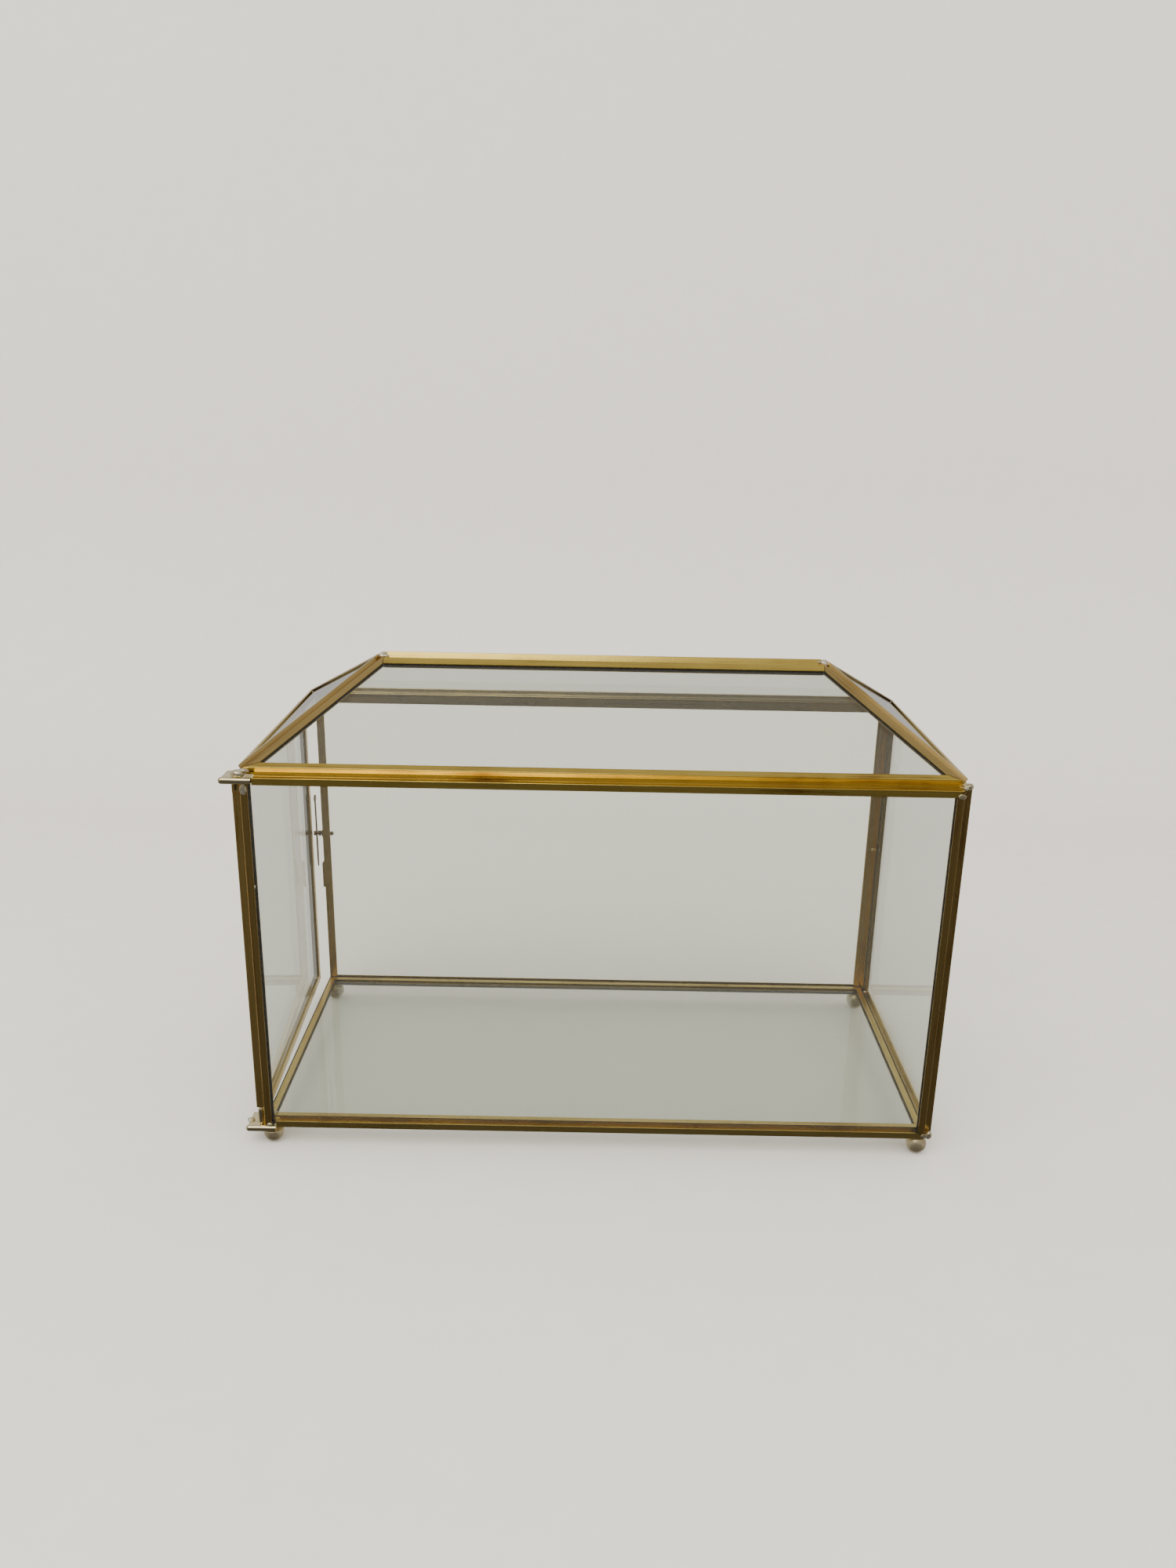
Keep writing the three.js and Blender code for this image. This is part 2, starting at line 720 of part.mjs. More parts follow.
const stileEnds = {
  from: PIN_SLEEVE_LENGTH + FIT_GAP,
  to: doorFace.edges[hingeEdge].length - TOP_SLEEVE_LENGTH - FIT_GAP,
};
place(
  door,
  "door_rail_bottom",
  strip(doorFace, bottomEdge, doorSection, { to: doorLength - sleeveClear }),
  brass,
);
place(door, "door_stile_hinge", strip(doorFace, hingeEdge, doorSection, stileEnds), brass);
place(
  door,
  "door_rail_top",
  strip(doorFace, topEdge, doorSection, { from: sleeveClear }),
  brass,
);
place(door, "door_stile_latch", strip(doorFace, latchEdge, doorSection), brass);

// The pane's two front corners are nipped off to clear the pivot sleeves.
const doorGlassOffset = (DOOR_DEPTH - DOOR_GLASS) / 2;
const doorInset = DOOR_SHEET + FIT_GAP;
const nipY = sleeveClear - PIN_SETBACK;
const doorPane = plateOver(
  doorFace,
  insetCorners(doorFace, doorFace.edges.map(() => doorInset)),
  doorGlassOffset,
  doorGlassOffset + DOOR_GLASS,
);
const nips = [
  [DOOR_LIFT, stileEnds.from],
  [DOOR_TOP - TOP_SLEEVE_LENGTH - FIT_GAP, TOP_SLEEVE_LENGTH + FIT_GAP],
].map(([level, height]) =>
  box([-DOOR_DEPTH, -DOOR_DEPTH, level], [DOOR_DEPTH, nipY, level + height]),
);
place(door, "door_glass", cut(doorPane, nips), clearGlass);

// A pivot pin: a domed sleeve at the door's corner with a thinner journal in the plate's hole.
function pivotPin(doorEdge, plateLevel, direction, sleeve) {
  const reach = Math.abs(doorEdge - plateLevel) + HINGE_PLATE_THICKNESS / 2;
  const shoulder = sleeve - PIN_DOME;
  const profile = [
    [0, -reach],
    [PIN_RADIUS, -reach],
    [PIN_RADIUS, -FIT_GAP],
    [PIN_SLEEVE_RADIUS, -FIT_GAP],
    [PIN_SLEEVE_RADIUS, shoulder],
    [PIN_SLEEVE_RADIUS * 0.86, shoulder + PIN_DOME * 0.5],
    [PIN_SLEEVE_RADIUS * 0.5, shoulder + PIN_DOME * 0.87],
    [0, sleeve],
  ];
  const geometry = new THREE.LatheGeometry(
    profile.map(([x, y]) => new THREE.Vector2(x, y)),
    20,
  );
  geometry.rotateX((direction * Math.PI) / 2);
  geometry.translate(0, 0, doorEdge);
  return solid(geometry);
}

place(
  door,
  "pivot_pin_bottom",
  pivotPin(DOOR_LIFT, BOTTOM_PLATE_LEVEL, 1, PIN_SLEEVE_LENGTH),
  brightBrass,
);
place(
  door,
  "pivot_pin_top",
  pivotPin(DOOR_TOP, TOP_PLATE_LEVEL, -1, TOP_SLEEVE_LENGTH),
  brightBrass,
);

door.position.set(PIVOT_X, PIVOT_Y, 0);
door.rotation.z = THREE.MathUtils.degToRad(DOOR_AJAR);

// ---------- latch ----------

// A rod soldered across the back of the rear left post, with a ball on its inner end and a head
// on its outer end that keeps the turn button on.
const rodY = REAR_FACE + FIT_GAP + LATCH_BALL_RADIUS;
const buttonInner = DOOR_OUTER_FACE - FIT_GAP;
const buttonOuter = buttonInner - BUTTON_THICKNESS;
const rodInner = -HALF_WIDTH + LATCH_BALL_INSET;
const headInner = buttonOuter - FIT_GAP;
const headOuter = headInner - LATCH_HEAD_THICKNESS;
const rodAt = (x) => [x, rodY, BUTTON_LEVEL];
place(
  fixed,
  "latch_rod",
  join([
    rod(rodAt(headOuter), rodAt(rodInner), LATCH_ROD_RADIUS, 16),
    rod(rodAt(headOuter), rodAt(headInner), LATCH_HEAD_RADIUS, 16),
    ball(rodAt(rodInner), LATCH_BALL_RADIUS, 16),
  ]),
  brightBrass,
);

const washerInner = -HALF_WIDTH - 2 * FIT_GAP;
const washerBore = LATCH_ROD_RADIUS + FIT_GAP / 3;
place(
  fixed,
  "latch_washer",
  rod(
    rodAt(washerInner - LATCH_WASHER_THICKNESS),
    rodAt(washerInner),
    LATCH_WASHER_RADIUS,
  ).subtract(
    rod(rodAt(washerInner - 2 * LATCH_WASHER_THICKNESS), rodAt(-HALF_WIDTH), washerBore, 16),
  ),
  brightBrass,
);

// The turn button: a slim bar with a round grip above and a point below.
function turnButton() {
  const half = BUTTON_WIDTH / 2;
  const gripMiddle = BUTTON_UP - BUTTON_BULB_RADIUS;
  const neckTop = gripMiddle - BUTTON_BULB_RADIUS;
  const pointTop = BUTTON_POINT - BUTTON_DOWN;
  const shoulder = -BUTTON_WIDTH;
  const shape = new THREE.Shape();
  shape.moveTo(0, -BUTTON_DOWN);
  shape.lineTo(BUTTON_FOOT_WIDTH / 2, pointTop);
  shape.lineTo(BUTTON_WAIST / 2, shoulder);
  shape.absarc(0, 0, half, -Math.PI / 3, Math.PI / 3, false);
  shape.lineTo(BUTTON_NECK / 2, neckTop);
  shape.absarc(0, gripMiddle, BUTTON_BULB_RADIUS, -Math.PI / 3, Math.PI * (4 / 3), false);
  shape.lineTo(-BUTTON_NECK / 2, neckTop);
  shape.absarc(0, 0, half, Math.PI * (2 / 3), Math.PI * (4 / 3), false);
  shape.lineTo(-BUTTON_WAIST / 2, shoulder);
  shape.lineTo(-BUTTON_FOOT_WIDTH / 2, pointTop);
  const hole = new THREE.Path();
  hole.absarc(0, 0, washerBore, 0, Math.PI * 2, true);
  shape.holes.push(hole);
  const geometry = new THREE.ExtrudeGeometry(shape, {
    depth: BUTTON_THICKNESS,
    bevelEnabled: false,
    curveSegments: 10,
  });
  geometry.applyMatrix4(
    new THREE.Matrix4().makeBasis(
      new THREE.Vector3(0, 1, 0),
      new THREE.Vector3(0, 0, 1),
      new THREE.Vector3(1, 0, 0),
    ),
  );
  geometry.translate(buttonOuter, rodY, BUTTON_LEVEL);
  return solid(geometry);
}

place(fixed, "turn_button", turnButton(), brightBrass);

// A small tab on the rear post, beside the free edge of the door.
const tabRear = REAR_FACE - FIT_GAP / 2;
const tabFront = DOOR_REAR + TAB_CLEAR;
const tabX = -HALF_WIDTH - FIT_GAP / 2;
const tabShape = outline([
  [0, 0],
  [TAB_PROUD, 0],
  [TAB_PROUD, TAB_HEIGHT - TAB_PROUD],
  [0, TAB_HEIGHT],
]);
const tabGeometry = new THREE.ExtrudeGeometry(tabShape, {
  depth: Math.min(TAB_THICKNESS, tabRear - tabFront),
  bevelEnabled: false,
});
tabGeometry.applyMatrix4(
  new THREE.Matrix4().makeBasis(
    new THREE.Vector3(-1, 0, 0),
    new THREE.Vector3(0, 0, 1),
    new THREE.Vector3(0, 1, 0),
  ),
);
tabGeometry.translate(tabX, tabFront, TAB_LEVEL);
place(fixed, "door_stop_tab", solid(tabGeometry), brass);

// ---------- solder ----------

// The space a panel's rails and glass take up near its corners, with a margin all round.
function keepClear(face) {
  const grown = (margin, height) =>
    plateOver(face, insetCorners(face, face.edges.map(() => -margin)), -SOLDER_REACH, height);
  return [
    grown(FIT_GAP, CAME_DEPTH + FIT_GAP),
    grown(SHEET + FIT_GAP, SHEET + FIT_GAP),
  ];
}

// A lump of solder that fills the notch where the rails meet, cut clear of all of them.
function lump(name, centre, radius, faces, others = []) {
  const cutters = [...faces.flatMap(keepClear), ...others];
  place(fixed, name, cut(ball(centre, radius, 24), cutters), solder);
}

// From a corner of the space inside, outwards by the given steps away from the middle.
function outFrom([x, y, z], across, back, up) {
  return [x + Math.sign(x) * across, y + Math.sign(y) * back, z + up];
}

const leftOpening = panel([base.rearLeft, base.frontLeft, eave.frontLeft, eave.rearLeft]);
const walls = {
  frontLeft: [frontWall, leftOpening],
  frontRight: [frontWall, rightWall],
  rearRight: [rearWall, rightWall],
  rearLeft: [rearWall, leftOpening],
};
const roofs = {
  frontLeft: [roofFront, roofLeft],
  frontRight: [roofFront, roofRight],
  rearRight: [roofRear, roofRight],
  rearLeft: [roofRear, roofLeft],
};
const upperPlateSpace = hingePlate(TOP_PLATE_LEVEL, FIT_GAP);
for (const [corner, nodeEnd] of [
  ["frontLeft", "front_left"],
  ["frontRight", "front_right"],
  ["rearRight", "rear_right"],
  ["rearLeft", "rear_left"],
]) {
  const centre = outFrom(eave[corner], SOLDER_OUT, SOLDER_OUT, SOLDER_EAVE_UP);
  const faces = [...walls[corner], ...roofs[corner]];
  const others = corner === "frontLeft" ? [upperPlateSpace] : [];
  lump("solder_eave_" + nodeEnd, centre, SOLDER_RADIUS, faces, others);
}

for (const [corner, y, nodeEnd] of [
  ["frontRight", -footY, "front_right"],
  ["rearRight", footY, "rear_right"],
]) {
  const centre = outFrom(base[corner], SOLDER_OUT, SOLDER_OUT, SOLDER_BASE_UP);
  const footSpace = ball([footX, y, -FOOT_DROP], FOOT_RADIUS + FIT_GAP, 28);
  lump("solder_base_" + nodeEnd, centre, SOLDER_RADIUS, walls[corner], [footSpace]);
}

// The foot under the lower hinge plate stands clear of the rails, on a pad of solder.
place(
  fixed,
  "solder_base_front_left",
  rod([-footX, SOLDER_PAD_Y, hingeFootTop + FIT_GAP], [-footX, SOLDER_PAD_Y, -FIT_GAP], SOLDER_PAD),
  solder,
);

for (const [end, roofEnd] of [
  ["left", roofLeft],
  ["right", roofRight],
]) {
  const centre = outFrom(ridge[end], SOLDER_OUT, 0, SOLDER_RIDGE_UP);
  lump("solder_ridge_" + end, centre, SOLDER_RADIUS, [roofFront, roofRear, roofEnd]);
}

// ---------- the whole case ----------

const whole = new THREE.Group();
whole.add(fixed, door);
const bounds = new THREE.Box3().setFromObject(whole, true);
const middle = bounds.getCenter(new THREE.Vector3());
whole.children.forEach((group) => {
  group.position.x -= middle.x;
  group.position.y -= middle.y;
  group.position.z -= bounds.min.z;
});

export default whole;
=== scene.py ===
# %% [markdown]
# # A glass display case in soldered brass
# This lesson dresses a finished CAD model of a small display case: a frame of folded brass
# channel, clear panes, a hipped glass roof, ball feet, and a door that closes the left end.
# The CAD model gives every size. Here each piece gets the softness, wear and finish of the
# real thing. All lengths are in metres, and MM turns millimetres into metres.

import math

import bmesh
import bpy
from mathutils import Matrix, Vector, noise


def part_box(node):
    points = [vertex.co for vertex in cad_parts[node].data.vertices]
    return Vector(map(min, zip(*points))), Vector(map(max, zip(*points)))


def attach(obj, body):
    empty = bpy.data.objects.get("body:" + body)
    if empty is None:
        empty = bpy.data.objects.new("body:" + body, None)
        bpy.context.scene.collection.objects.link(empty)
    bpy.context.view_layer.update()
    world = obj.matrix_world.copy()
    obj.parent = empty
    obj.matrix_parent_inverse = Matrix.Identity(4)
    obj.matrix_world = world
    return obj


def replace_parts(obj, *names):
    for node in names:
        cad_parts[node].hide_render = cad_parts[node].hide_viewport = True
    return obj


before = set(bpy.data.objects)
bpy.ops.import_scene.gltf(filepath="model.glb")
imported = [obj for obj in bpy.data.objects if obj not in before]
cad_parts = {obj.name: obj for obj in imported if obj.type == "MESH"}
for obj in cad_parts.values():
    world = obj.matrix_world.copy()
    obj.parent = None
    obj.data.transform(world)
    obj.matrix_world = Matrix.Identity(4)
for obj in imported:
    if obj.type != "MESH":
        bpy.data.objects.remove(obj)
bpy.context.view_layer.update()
MM = 0.001

# %% [markdown]
# ## Landmarks
# The later pieces are placed by the frame's own lines: the inner corner lines, where the inner
# faces of the channels would meet, and the levels of base, eave and ridge. They are read from
# the boxes of the CAD pieces, so nothing has to be fitted by eye. The four lengths at the top
# are the CAD model's own, and lead from the edge of a box to the line that is wanted.

# %% Landmarks
CAME = 3.6 * MM  # how deep a channel is, across the glass
EAVE_SKIRT = 4.1 * MM  # how far the eave channels hang below the eave line
ROOF_RISE = 35.3 * MM  # from the eave line up to the ridge line
MITRE_GAP = 0.15 * MM  # what each mitred end of the ridge leaves open
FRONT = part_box("corner_post_front_left")[0].y
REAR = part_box("corner_post_rear_left")[1].y
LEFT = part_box("base_rail_left")[0].x
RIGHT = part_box("base_rail_right")[1].x - CAME
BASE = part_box("base_rail_front")[0].z
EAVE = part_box("eave_rail_rear")[0].z + EAVE_SKIRT
RIDGE = EAVE + ROOF_RISE
MID_X = (LEFT + RIGHT) / 2
MID_Y = (FRONT + REAR) / 2
RIDGE_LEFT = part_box("ridge_rail")[0].x - MITRE_GAP
RIDGE_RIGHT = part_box("ridge_rail")[1].x + MITRE_GAP
INNER_FRONT = FRONT + CAME
INNER_REAR = REAR - CAME
print("eave at", round(EAVE, 4), "ridge at", round(RIDGE, 4))

# %% [markdown]
# ## Node helpers
# A Blender material is a small network of nodes, and a few helpers keep the recipes short. One
# adds a node with its settings and one joins two sockets. Others add a noise, turn a factor from
# 0 to 1 into a colour or a range of numbers, raise a bump, or end the network. Values that are
# the same all over a surface are set on the shader itself, and only what varies gets nodes.


# %% Node helpers
def fresh_material(name):
    material = bpy.data.materials.new(name)
    material.use_nodes = True
    material.node_tree.nodes.clear()
    return material


def add(tree, kind, **settings):
    node = tree.nodes.new(kind)
    for key, value in settings.items():
        if isinstance(value, dict):
            for socket, number in value.items():
                node.inputs[socket].default_value = number
        else:
            setattr(node, key, value)
    return node


def link(tree, source, target):
    tree.links.new(source, target)


def ramp(tree, factor, stops):
    """A colour that runs through the stops as the factor goes from 0 to 1."""
    node = add(tree, "ShaderNodeValToRGB")
    elements = node.color_ramp.elements
    while len(elements) < len(stops):
        elements.new(0.5)
    for element, (place, colour) in zip(elements, stops):
        element.position = place
        element.color = (*colour, 1)
    link(tree, factor, node.inputs["Fac"])
    return node.outputs["Color"]


def spread(tree, factor, low, high):
    """A number that goes from low to high as the factor goes from 0 to 1."""
    node = add(tree, "ShaderNodeMapRange", inputs={"To Min": low, "To Max": high})
    link(tree, factor, node.inputs["Value"])
    return node.outputs["Result"]


def object_place(tree):
    """The point of the surface in the object's own metres, so that no mapping is needed."""
    return add(tree, "ShaderNodeTexCoord").outputs["Object"]


def noise_at(tree, place, scale, detail, **more):
    node = add(tree, "ShaderNodeTexNoise", inputs={"Scale": scale, "Detail": detail, **more})
    link(tree, place, node.inputs["Vector"])
    return node.outputs["Fac"]


def raised(tree, height, strength, distance, under=None):
    """A bump, which can lie on top of another bump."""
    node = add(tree, "ShaderNodeBump", inputs={"Strength": strength, "Distance": distance})
    link(tree, height, node.inputs["Height"])
    if under:
        link(tree, under, node.inputs["Normal"])
    return node.outputs["Normal"]


def show(tree, surface):
    output = add(tree, "ShaderNodeOutputMaterial")
    link(tree, surface, output.inputs["Surface"])


helpers = (fresh_material, add, link, ramp, spread, object_place, noise_at, raised, show)
print("helpers:", [helper.__name__ for helper in helpers])

# %% [markdown]
# ## Aged brass came
# Came is brass ribbon that was rolled into a channel, so its scratches and stains run along
# its length. The same noise is stretched along each rail's own direction: a point's distance
# along the rail counts little and its distance across counts a lot. A second, round noise
# lays tarnish over it in patches, and where that is dark the surface is also rougher. A
# picture of brass could be used as a texture, but noise has no edges and needs no image.


# %% Aged brass
SCALE_ALONG = 14  # low, so that a streak is long
SCALE_ACROSS = 620  # high, so that a streak is thin
PATCH_SCALE = 38
PATCH_SHARE = 0.4  # how much of the tarnish is patches, where the rest is streaks
SPECK_SCALE = 900
STAIN_SHARE = 0.3  # how stained the metal between clean and stained is
SPOT_DARKNESS = 0.45  # the darkest spots, as a share of the stain's colour


def streaked_place(tree, along):
    """Coordinates that are squeezed along one direction and stretched across it."""
    direction = Vector(along).normalized()
    helper = Vector((0, 0, 1)) if abs(direction.z) < 0.8 else Vector((1, 0, 0))
    side = direction.cross(helper).normalized()
    up = direction.cross(side)
    place = object_place(tree)
    joined = add(tree, "ShaderNodeCombineXYZ")
    axes = (("X", direction, SCALE_ALONG), ("Y", side, SCALE_ACROSS), ("Z", up, SCALE_ACROSS))
    for axis, vector, scale in axes:
        dot = add(tree, "ShaderNodeVectorMath", operation="DOT_PRODUCT")
        dot.inputs[1].default_value = vector * scale
        link(tree, place, dot.inputs[0])
        link(tree, dot.outputs["Value"], joined.inputs[axis])
    return place, joined.outputs["Vector"]


def brass(name, along, finish, rough=(0.16, 0.36)):
    """A brass whose streaks run along a direction, with its smoothest and roughest values."""
    clean, stained = finish
    material = fresh_material(name)
    tree = material.node_tree
    place, streaks = streaked_place(tree, along)
    fine = noise_at(tree, streaks, 1.0, 5.0, Roughness=0.6)
    patch = noise_at(tree, place, PATCH_SCALE, 4.0)
    speck = noise_at(tree, place, SPECK_SCALE, 2.0)
    mixed = add(tree, "ShaderNodeMath", operation="MULTIPLY_ADD", inputs={1: 1 - PATCH_SHARE})
    link(tree, fine, mixed.inputs[0])
    share = add(tree, "ShaderNodeMath", operation="MULTIPLY", inputs={1: PATCH_SHARE})
    link(tree, patch, share.inputs[0])
    link(tree, share.outputs["Value"], mixed.inputs[2])
    middle = [(1 - STAIN_SHARE) * a + STAIN_SHARE * b for a, b in zip(clean, stained)]
    spot = [c * SPOT_DARKNESS for c in stained]
    tones = [(0.3, spot), (0.37, stained), (0.45, middle), (0.55, clean)]
    shader = add(tree, "ShaderNodeBsdfPrincipled")
    shader.inputs["Metallic"].default_value = 1
    link(tree, ramp(tree, mixed.outputs["Value"], tones), shader.inputs["Base Color"])
    roughness = spread(tree, mixed.outputs["Value"], rough[1], rough[0])
    link(tree, roughness, shader.inputs["Roughness"])
    scratches = raised(tree, fine, 0.12, 0.1 * MM)
    link(tree, raised(tree, speck, 0.08, 0.2 * MM, scratches), shader.inputs["Normal"])
    show(tree, shader.outputs["BSDF"])
    return material


print("streaks are", round(SCALE_ACROSS / SCALE_ALONG), "times longer than wide")

# %% [markdown]
# ## Brass finishes
# Each finish is a pair of colours: the clean metal, and its stains. Several are copies of one
# brass, made lighter or darker for how the light falls on each part. The front eave and the ridge
# are a brighter, yellower gold, a painted highlight for the light they catch. The front posts are
# a darker brown, painted shade for the dark in front that they face, and the front hips are also
# darker and browner. The rear eave and the rear hips are darker, painted shade for their inner
# faces in shade. The small fittings are either bright or almost black; the black ones are patina
# with painted shade for the shadow they sit in. The rear posts and the door's stiles have a
# warmer gold of their own.
# A material's streaks run one way, so a finish that is used on rails in two directions is two
# materials.

# %% Brass finishes
RAIL_FINISH = (0.84, 0.64, 0.22), (0.5, 0.34, 0.1)
# painted highlight: a brighter, yellower gold for the front eave and the ridge, which catch the
# light
LIT_GOLD_FINISH = (0.92, 0.68, 0.16), (0.46, 0.27, 0.06)
# painted shade: a darker brown for the front posts, which face the dark in front
POST_SHADE_FINISH = (0.66, 0.45, 0.15), (0.46, 0.29, 0.09)
HIP_FINISH = (0.68, 0.49, 0.19), (0.38, 0.24, 0.08)
REAR_FINISH = (0.86, 0.6, 0.2), (0.56, 0.37, 0.11)
# painted shade: a darker brass for the rear eave and the rear hips, whose inner faces are in
# shade
REAR_SHADE_FINISH = (0.68, 0.53, 0.23), (0.32, 0.22, 0.08)
BALL_FINISH = (0.88, 0.76, 0.5), (0.6, 0.48, 0.27)
BRIGHT_FINISH = (0.94, 0.83, 0.52), (0.68, 0.53, 0.24)
# patina and painted shade: an almost black brass for the latch, the top pin and the button, which
# sit in shadow
PATINA_AND_SHADE_FINISH = (0.28, 0.19, 0.08), (0.1, 0.065, 0.03)
ACROSS = (1, 0, 0)
BACK = (0, 1, 0)
UP = (0, 0, 1)
brass_across = brass("brass_across", ACROSS, RAIL_FINISH)
brass_back = brass("brass_back", BACK, RAIL_FINISH)
shaded_brass_upright = brass("shaded_brass_upright", UP, POST_SHADE_FINISH)
shaded_across = brass("shaded_across", ACROSS, REAR_SHADE_FINISH)
dull_upright = brass("dull_upright", UP, REAR_FINISH)
lit_gold_across = brass("lit_gold_across", ACROSS, LIT_GOLD_FINISH)
satin_balls = brass("satin_balls", ACROSS, BALL_FINISH, rough=(0.34, 0.5))
bright_brass = brass("bright_brass", ACROSS, BRIGHT_FINISH, rough=(0.08, 0.24))
patina_and_shade_brass = brass("patina_and_shade_brass", UP, PATINA_AND_SHADE_FINISH, rough=(0.2, 0.4))
print("brass finishes:", len(bpy.data.materials))

# %% [markdown]
# ## Solder
# The joints were filled with a pale solder and rubbed over, so they are brighter, greyer and
# lumpier than the brass. The colour noise is round, since solder flows and has no grain, and
# a strong bump gives the crumpled skin of metal that froze while it was being pushed about.


# %% Solder
def make_solder():
    material = fresh_material("pale_solder")
    tree = material.node_tree
    place = object_place(tree)
    tint = noise_at(tree, place, 420.0, 4.0)
    skin = noise_at(tree, place, 900.0, 3.0)
    tones = [(0.35, (0.6, 0.5, 0.3)), (0.5, (0.8, 0.71, 0.48)), (0.64, (0.92, 0.87, 0.7))]
    shader = add(tree, "ShaderNodeBsdfPrincipled")
    shader.inputs["Metallic"].default_value = 1
    link(tree, ramp(tree, tint, tones), shader.inputs["Base Color"])
    link(tree, spread(tree, skin, 0.26, 0.5), shader.inputs["Roughness"])
    link(tree, raised(tree, skin, 0.5, 0.3 * MM), shader.inputs["Normal"])
    show(tree, shader.outputs["BSDF"])
    return material


solder = make_solder()
print("solder:", solder.name)

# %% [markdown]
# ## Glass
# Window glass two millimetres thick bends light so little that its pane only shows by what
# it reflects. The pane is therefore a clear shader under a mirror that Fresnel's law fades in
# towards grazing angles. True refraction would darken everything behind two panes and need
# far more samples. The clear part is very slightly green and grey, and a faint film of
# smudges scatters a little light.


# %% Glass
GLASS_TINT = (0.948, 0.96, 0.942)
GLASS_INDEX = 1.5
SMUDGE_FILM = 0.012  # how much of the pane the film of smudges hides, on average
SMUDGE_COLOUR = (0.8, 0.83, 0.8, 1)


def make_glass():
    material = fresh_material("window_glass")
    tree = material.node_tree
    smudge = noise_at(tree, object_place(tree), 16.0, 6.0)
    clear = add(tree, "ShaderNodeBsdfTransparent", inputs={"Color": (*GLASS_TINT, 1)})
    mirror = add(tree, "ShaderNodeBsdfGlossy", inputs={"Color": (1, 1, 1, 1)})
    link(tree, spread(tree, smudge, 0.0, 0.05), mirror.inputs["Roughness"])
    dust = add(tree, "ShaderNodeBsdfDiffuse", inputs={"Color": SMUDGE_COLOUR})
    side = add(tree, "ShaderNodeNewGeometry")
    fresnel = add(tree, "ShaderNodeFresnel")
    index = spread(tree, side.outputs["Backfacing"], GLASS_INDEX, 1 / GLASS_INDEX)
    link(tree, index, fresnel.inputs["IOR"])
    pane = add(tree, "ShaderNodeMixShader")
    link(tree, fresnel.outputs["Fac"], pane.inputs["Fac"])
    link(tree, clear.outputs["BSDF"], pane.inputs[1])
    link(tree, mirror.outputs["BSDF"], pane.inputs[2])
    filmed = add(tree, "ShaderNodeMixShader")
    film = spread(tree, smudge, SMUDGE_FILM * 0.5, SMUDGE_FILM * 1.5)
    link(tree, film, filmed.inputs["Fac"])
    link(tree, pane.outputs["Shader"], filmed.inputs[1])
    link(tree, dust.outputs["BSDF"], filmed.inputs[2])
    show(tree, filmed.outputs["Shader"])
    return material


window_glass = make_glass()
print("glass:", window_glass.name)

# %% [markdown]
# ## Dark lips: tarnish and painted shade
# Behind the glass the inner lip of each channel is drawn almost black. Part of that is the lip's
# own dark tarnish, and part is painted shade for the narrow gap between lip and glass, which
# little light reaches. The recipe is a rough, almost black surface with a crumbly grain and a
# little brown showing through.


# %% Dark lips, tarnish and painted shade
def make_lip_shade_and_tarnish():
    material = fresh_material("lip_black_shade_and_tarnish")
    tree = material.node_tree
    grain = noise_at(tree, object_place(tree), 700.0, 4.0)
    # almost black: the lip's own tarnish, with painted shade for the dark gap between lip and
    # glass
    tones = [(0.45, (0.008, 0.006, 0.004)), (0.7, (0.05, 0.033, 0.014))]
    shader = add(tree, "ShaderNodeBsdfPrincipled")
    shader.inputs["Specular IOR Level"].default_value = 0.15
    link(tree, ramp(tree, grain, tones), shader.inputs["Base Color"])
    link(tree, spread(tree, grain, 0.55, 0.85), shader.inputs["Roughness"])
    link(tree, raised(tree, grain, 0.4, 0.2 * MM), shader.inputs["Normal"])
    show(tree, shader.outputs["BSDF"])
    return material


lip_shade_and_tarnish = make_lip_shade_and_tarnish()
print("blackened:", lip_shade_and_tarnish.name)

# %% [markdown]
# ## Softened metal
# CAD edges are knife sharp, and nothing folded from sheet is. Each brass piece is copied, its
# flat faces are merged so that only real edges are left, and those edges get a small rounded
# bevel. A bevel catches the light in a thin bright line, which is what makes a fold look
# folded. The copy stands in for the CAD piece, which is left as it was.


# %% Softened metal
SAME_POINT = 0.001 * MM
FLAT_ANGLE = math.radians(0.6)  # faces that meet flatter than this are one face
FOLD_ANGLE = math.radians(30)  # edges sharper than this get a bevel
SMOOTH_ANGLE = math.radians(35)  # edges flatter than this are shaded as one surface
FOLD_BEVEL = 0.11 * MM
PLATE_BEVEL = 0.15 * MM
FITTING_BEVEL = 0.12 * MM
PIN_BEVEL = 0.1 * MM


def new_piece(name, mesh, body, material):
    piece = bpy.data.objects.new(name, mesh)
    bpy.context.scene.collection.objects.link(piece)
    mesh.materials.clear()
    mesh.materials.append(material)
    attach(piece, body)
    return piece


def softened(node, material, bevel=FOLD_BEVEL, body="case"):
    """A copy of a CAD piece with rounded edges, which stands in for it."""
    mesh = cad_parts[node].data.copy()
    work = bmesh.new()
    work.from_mesh(mesh)
    bmesh.ops.remove_doubles(work, verts=work.verts, dist=SAME_POINT)
    bmesh.ops.dissolve_limit(work, angle_limit=FLAT_ANGLE, verts=work.verts, edges=work.edges)
    edges = [
        edge
        for edge in work.edges
        if len(edge.link_faces) == 2 and edge.calc_face_angle(0) > FOLD_ANGLE
    ]
    bmesh.ops.bevel(
        work,
        geom=edges,
        offset=bevel,
        offset_type="OFFSET",
        segments=2,
        profile=0.6,
        affect="EDGES",
        clamp_overlap=True,
    )
    for face in work.faces:
        face.smooth = True
    for edge in work.edges:
        edge.smooth = len(edge.link_faces) == 2 and edge.calc_face_angle(0) < SMOOTH_ANGLE
    work.to_mesh(mesh)
    work.free()
    piece = new_piece(node + "_soft", mesh, body, material)
    normals = piece.modifiers.new("even_normals", "WEIGHTED_NORMAL")
    normals.keep_sharp = True
    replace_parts(piece, node)


print("bevels from", round(math.degrees(FOLD_ANGLE)), "degrees up")
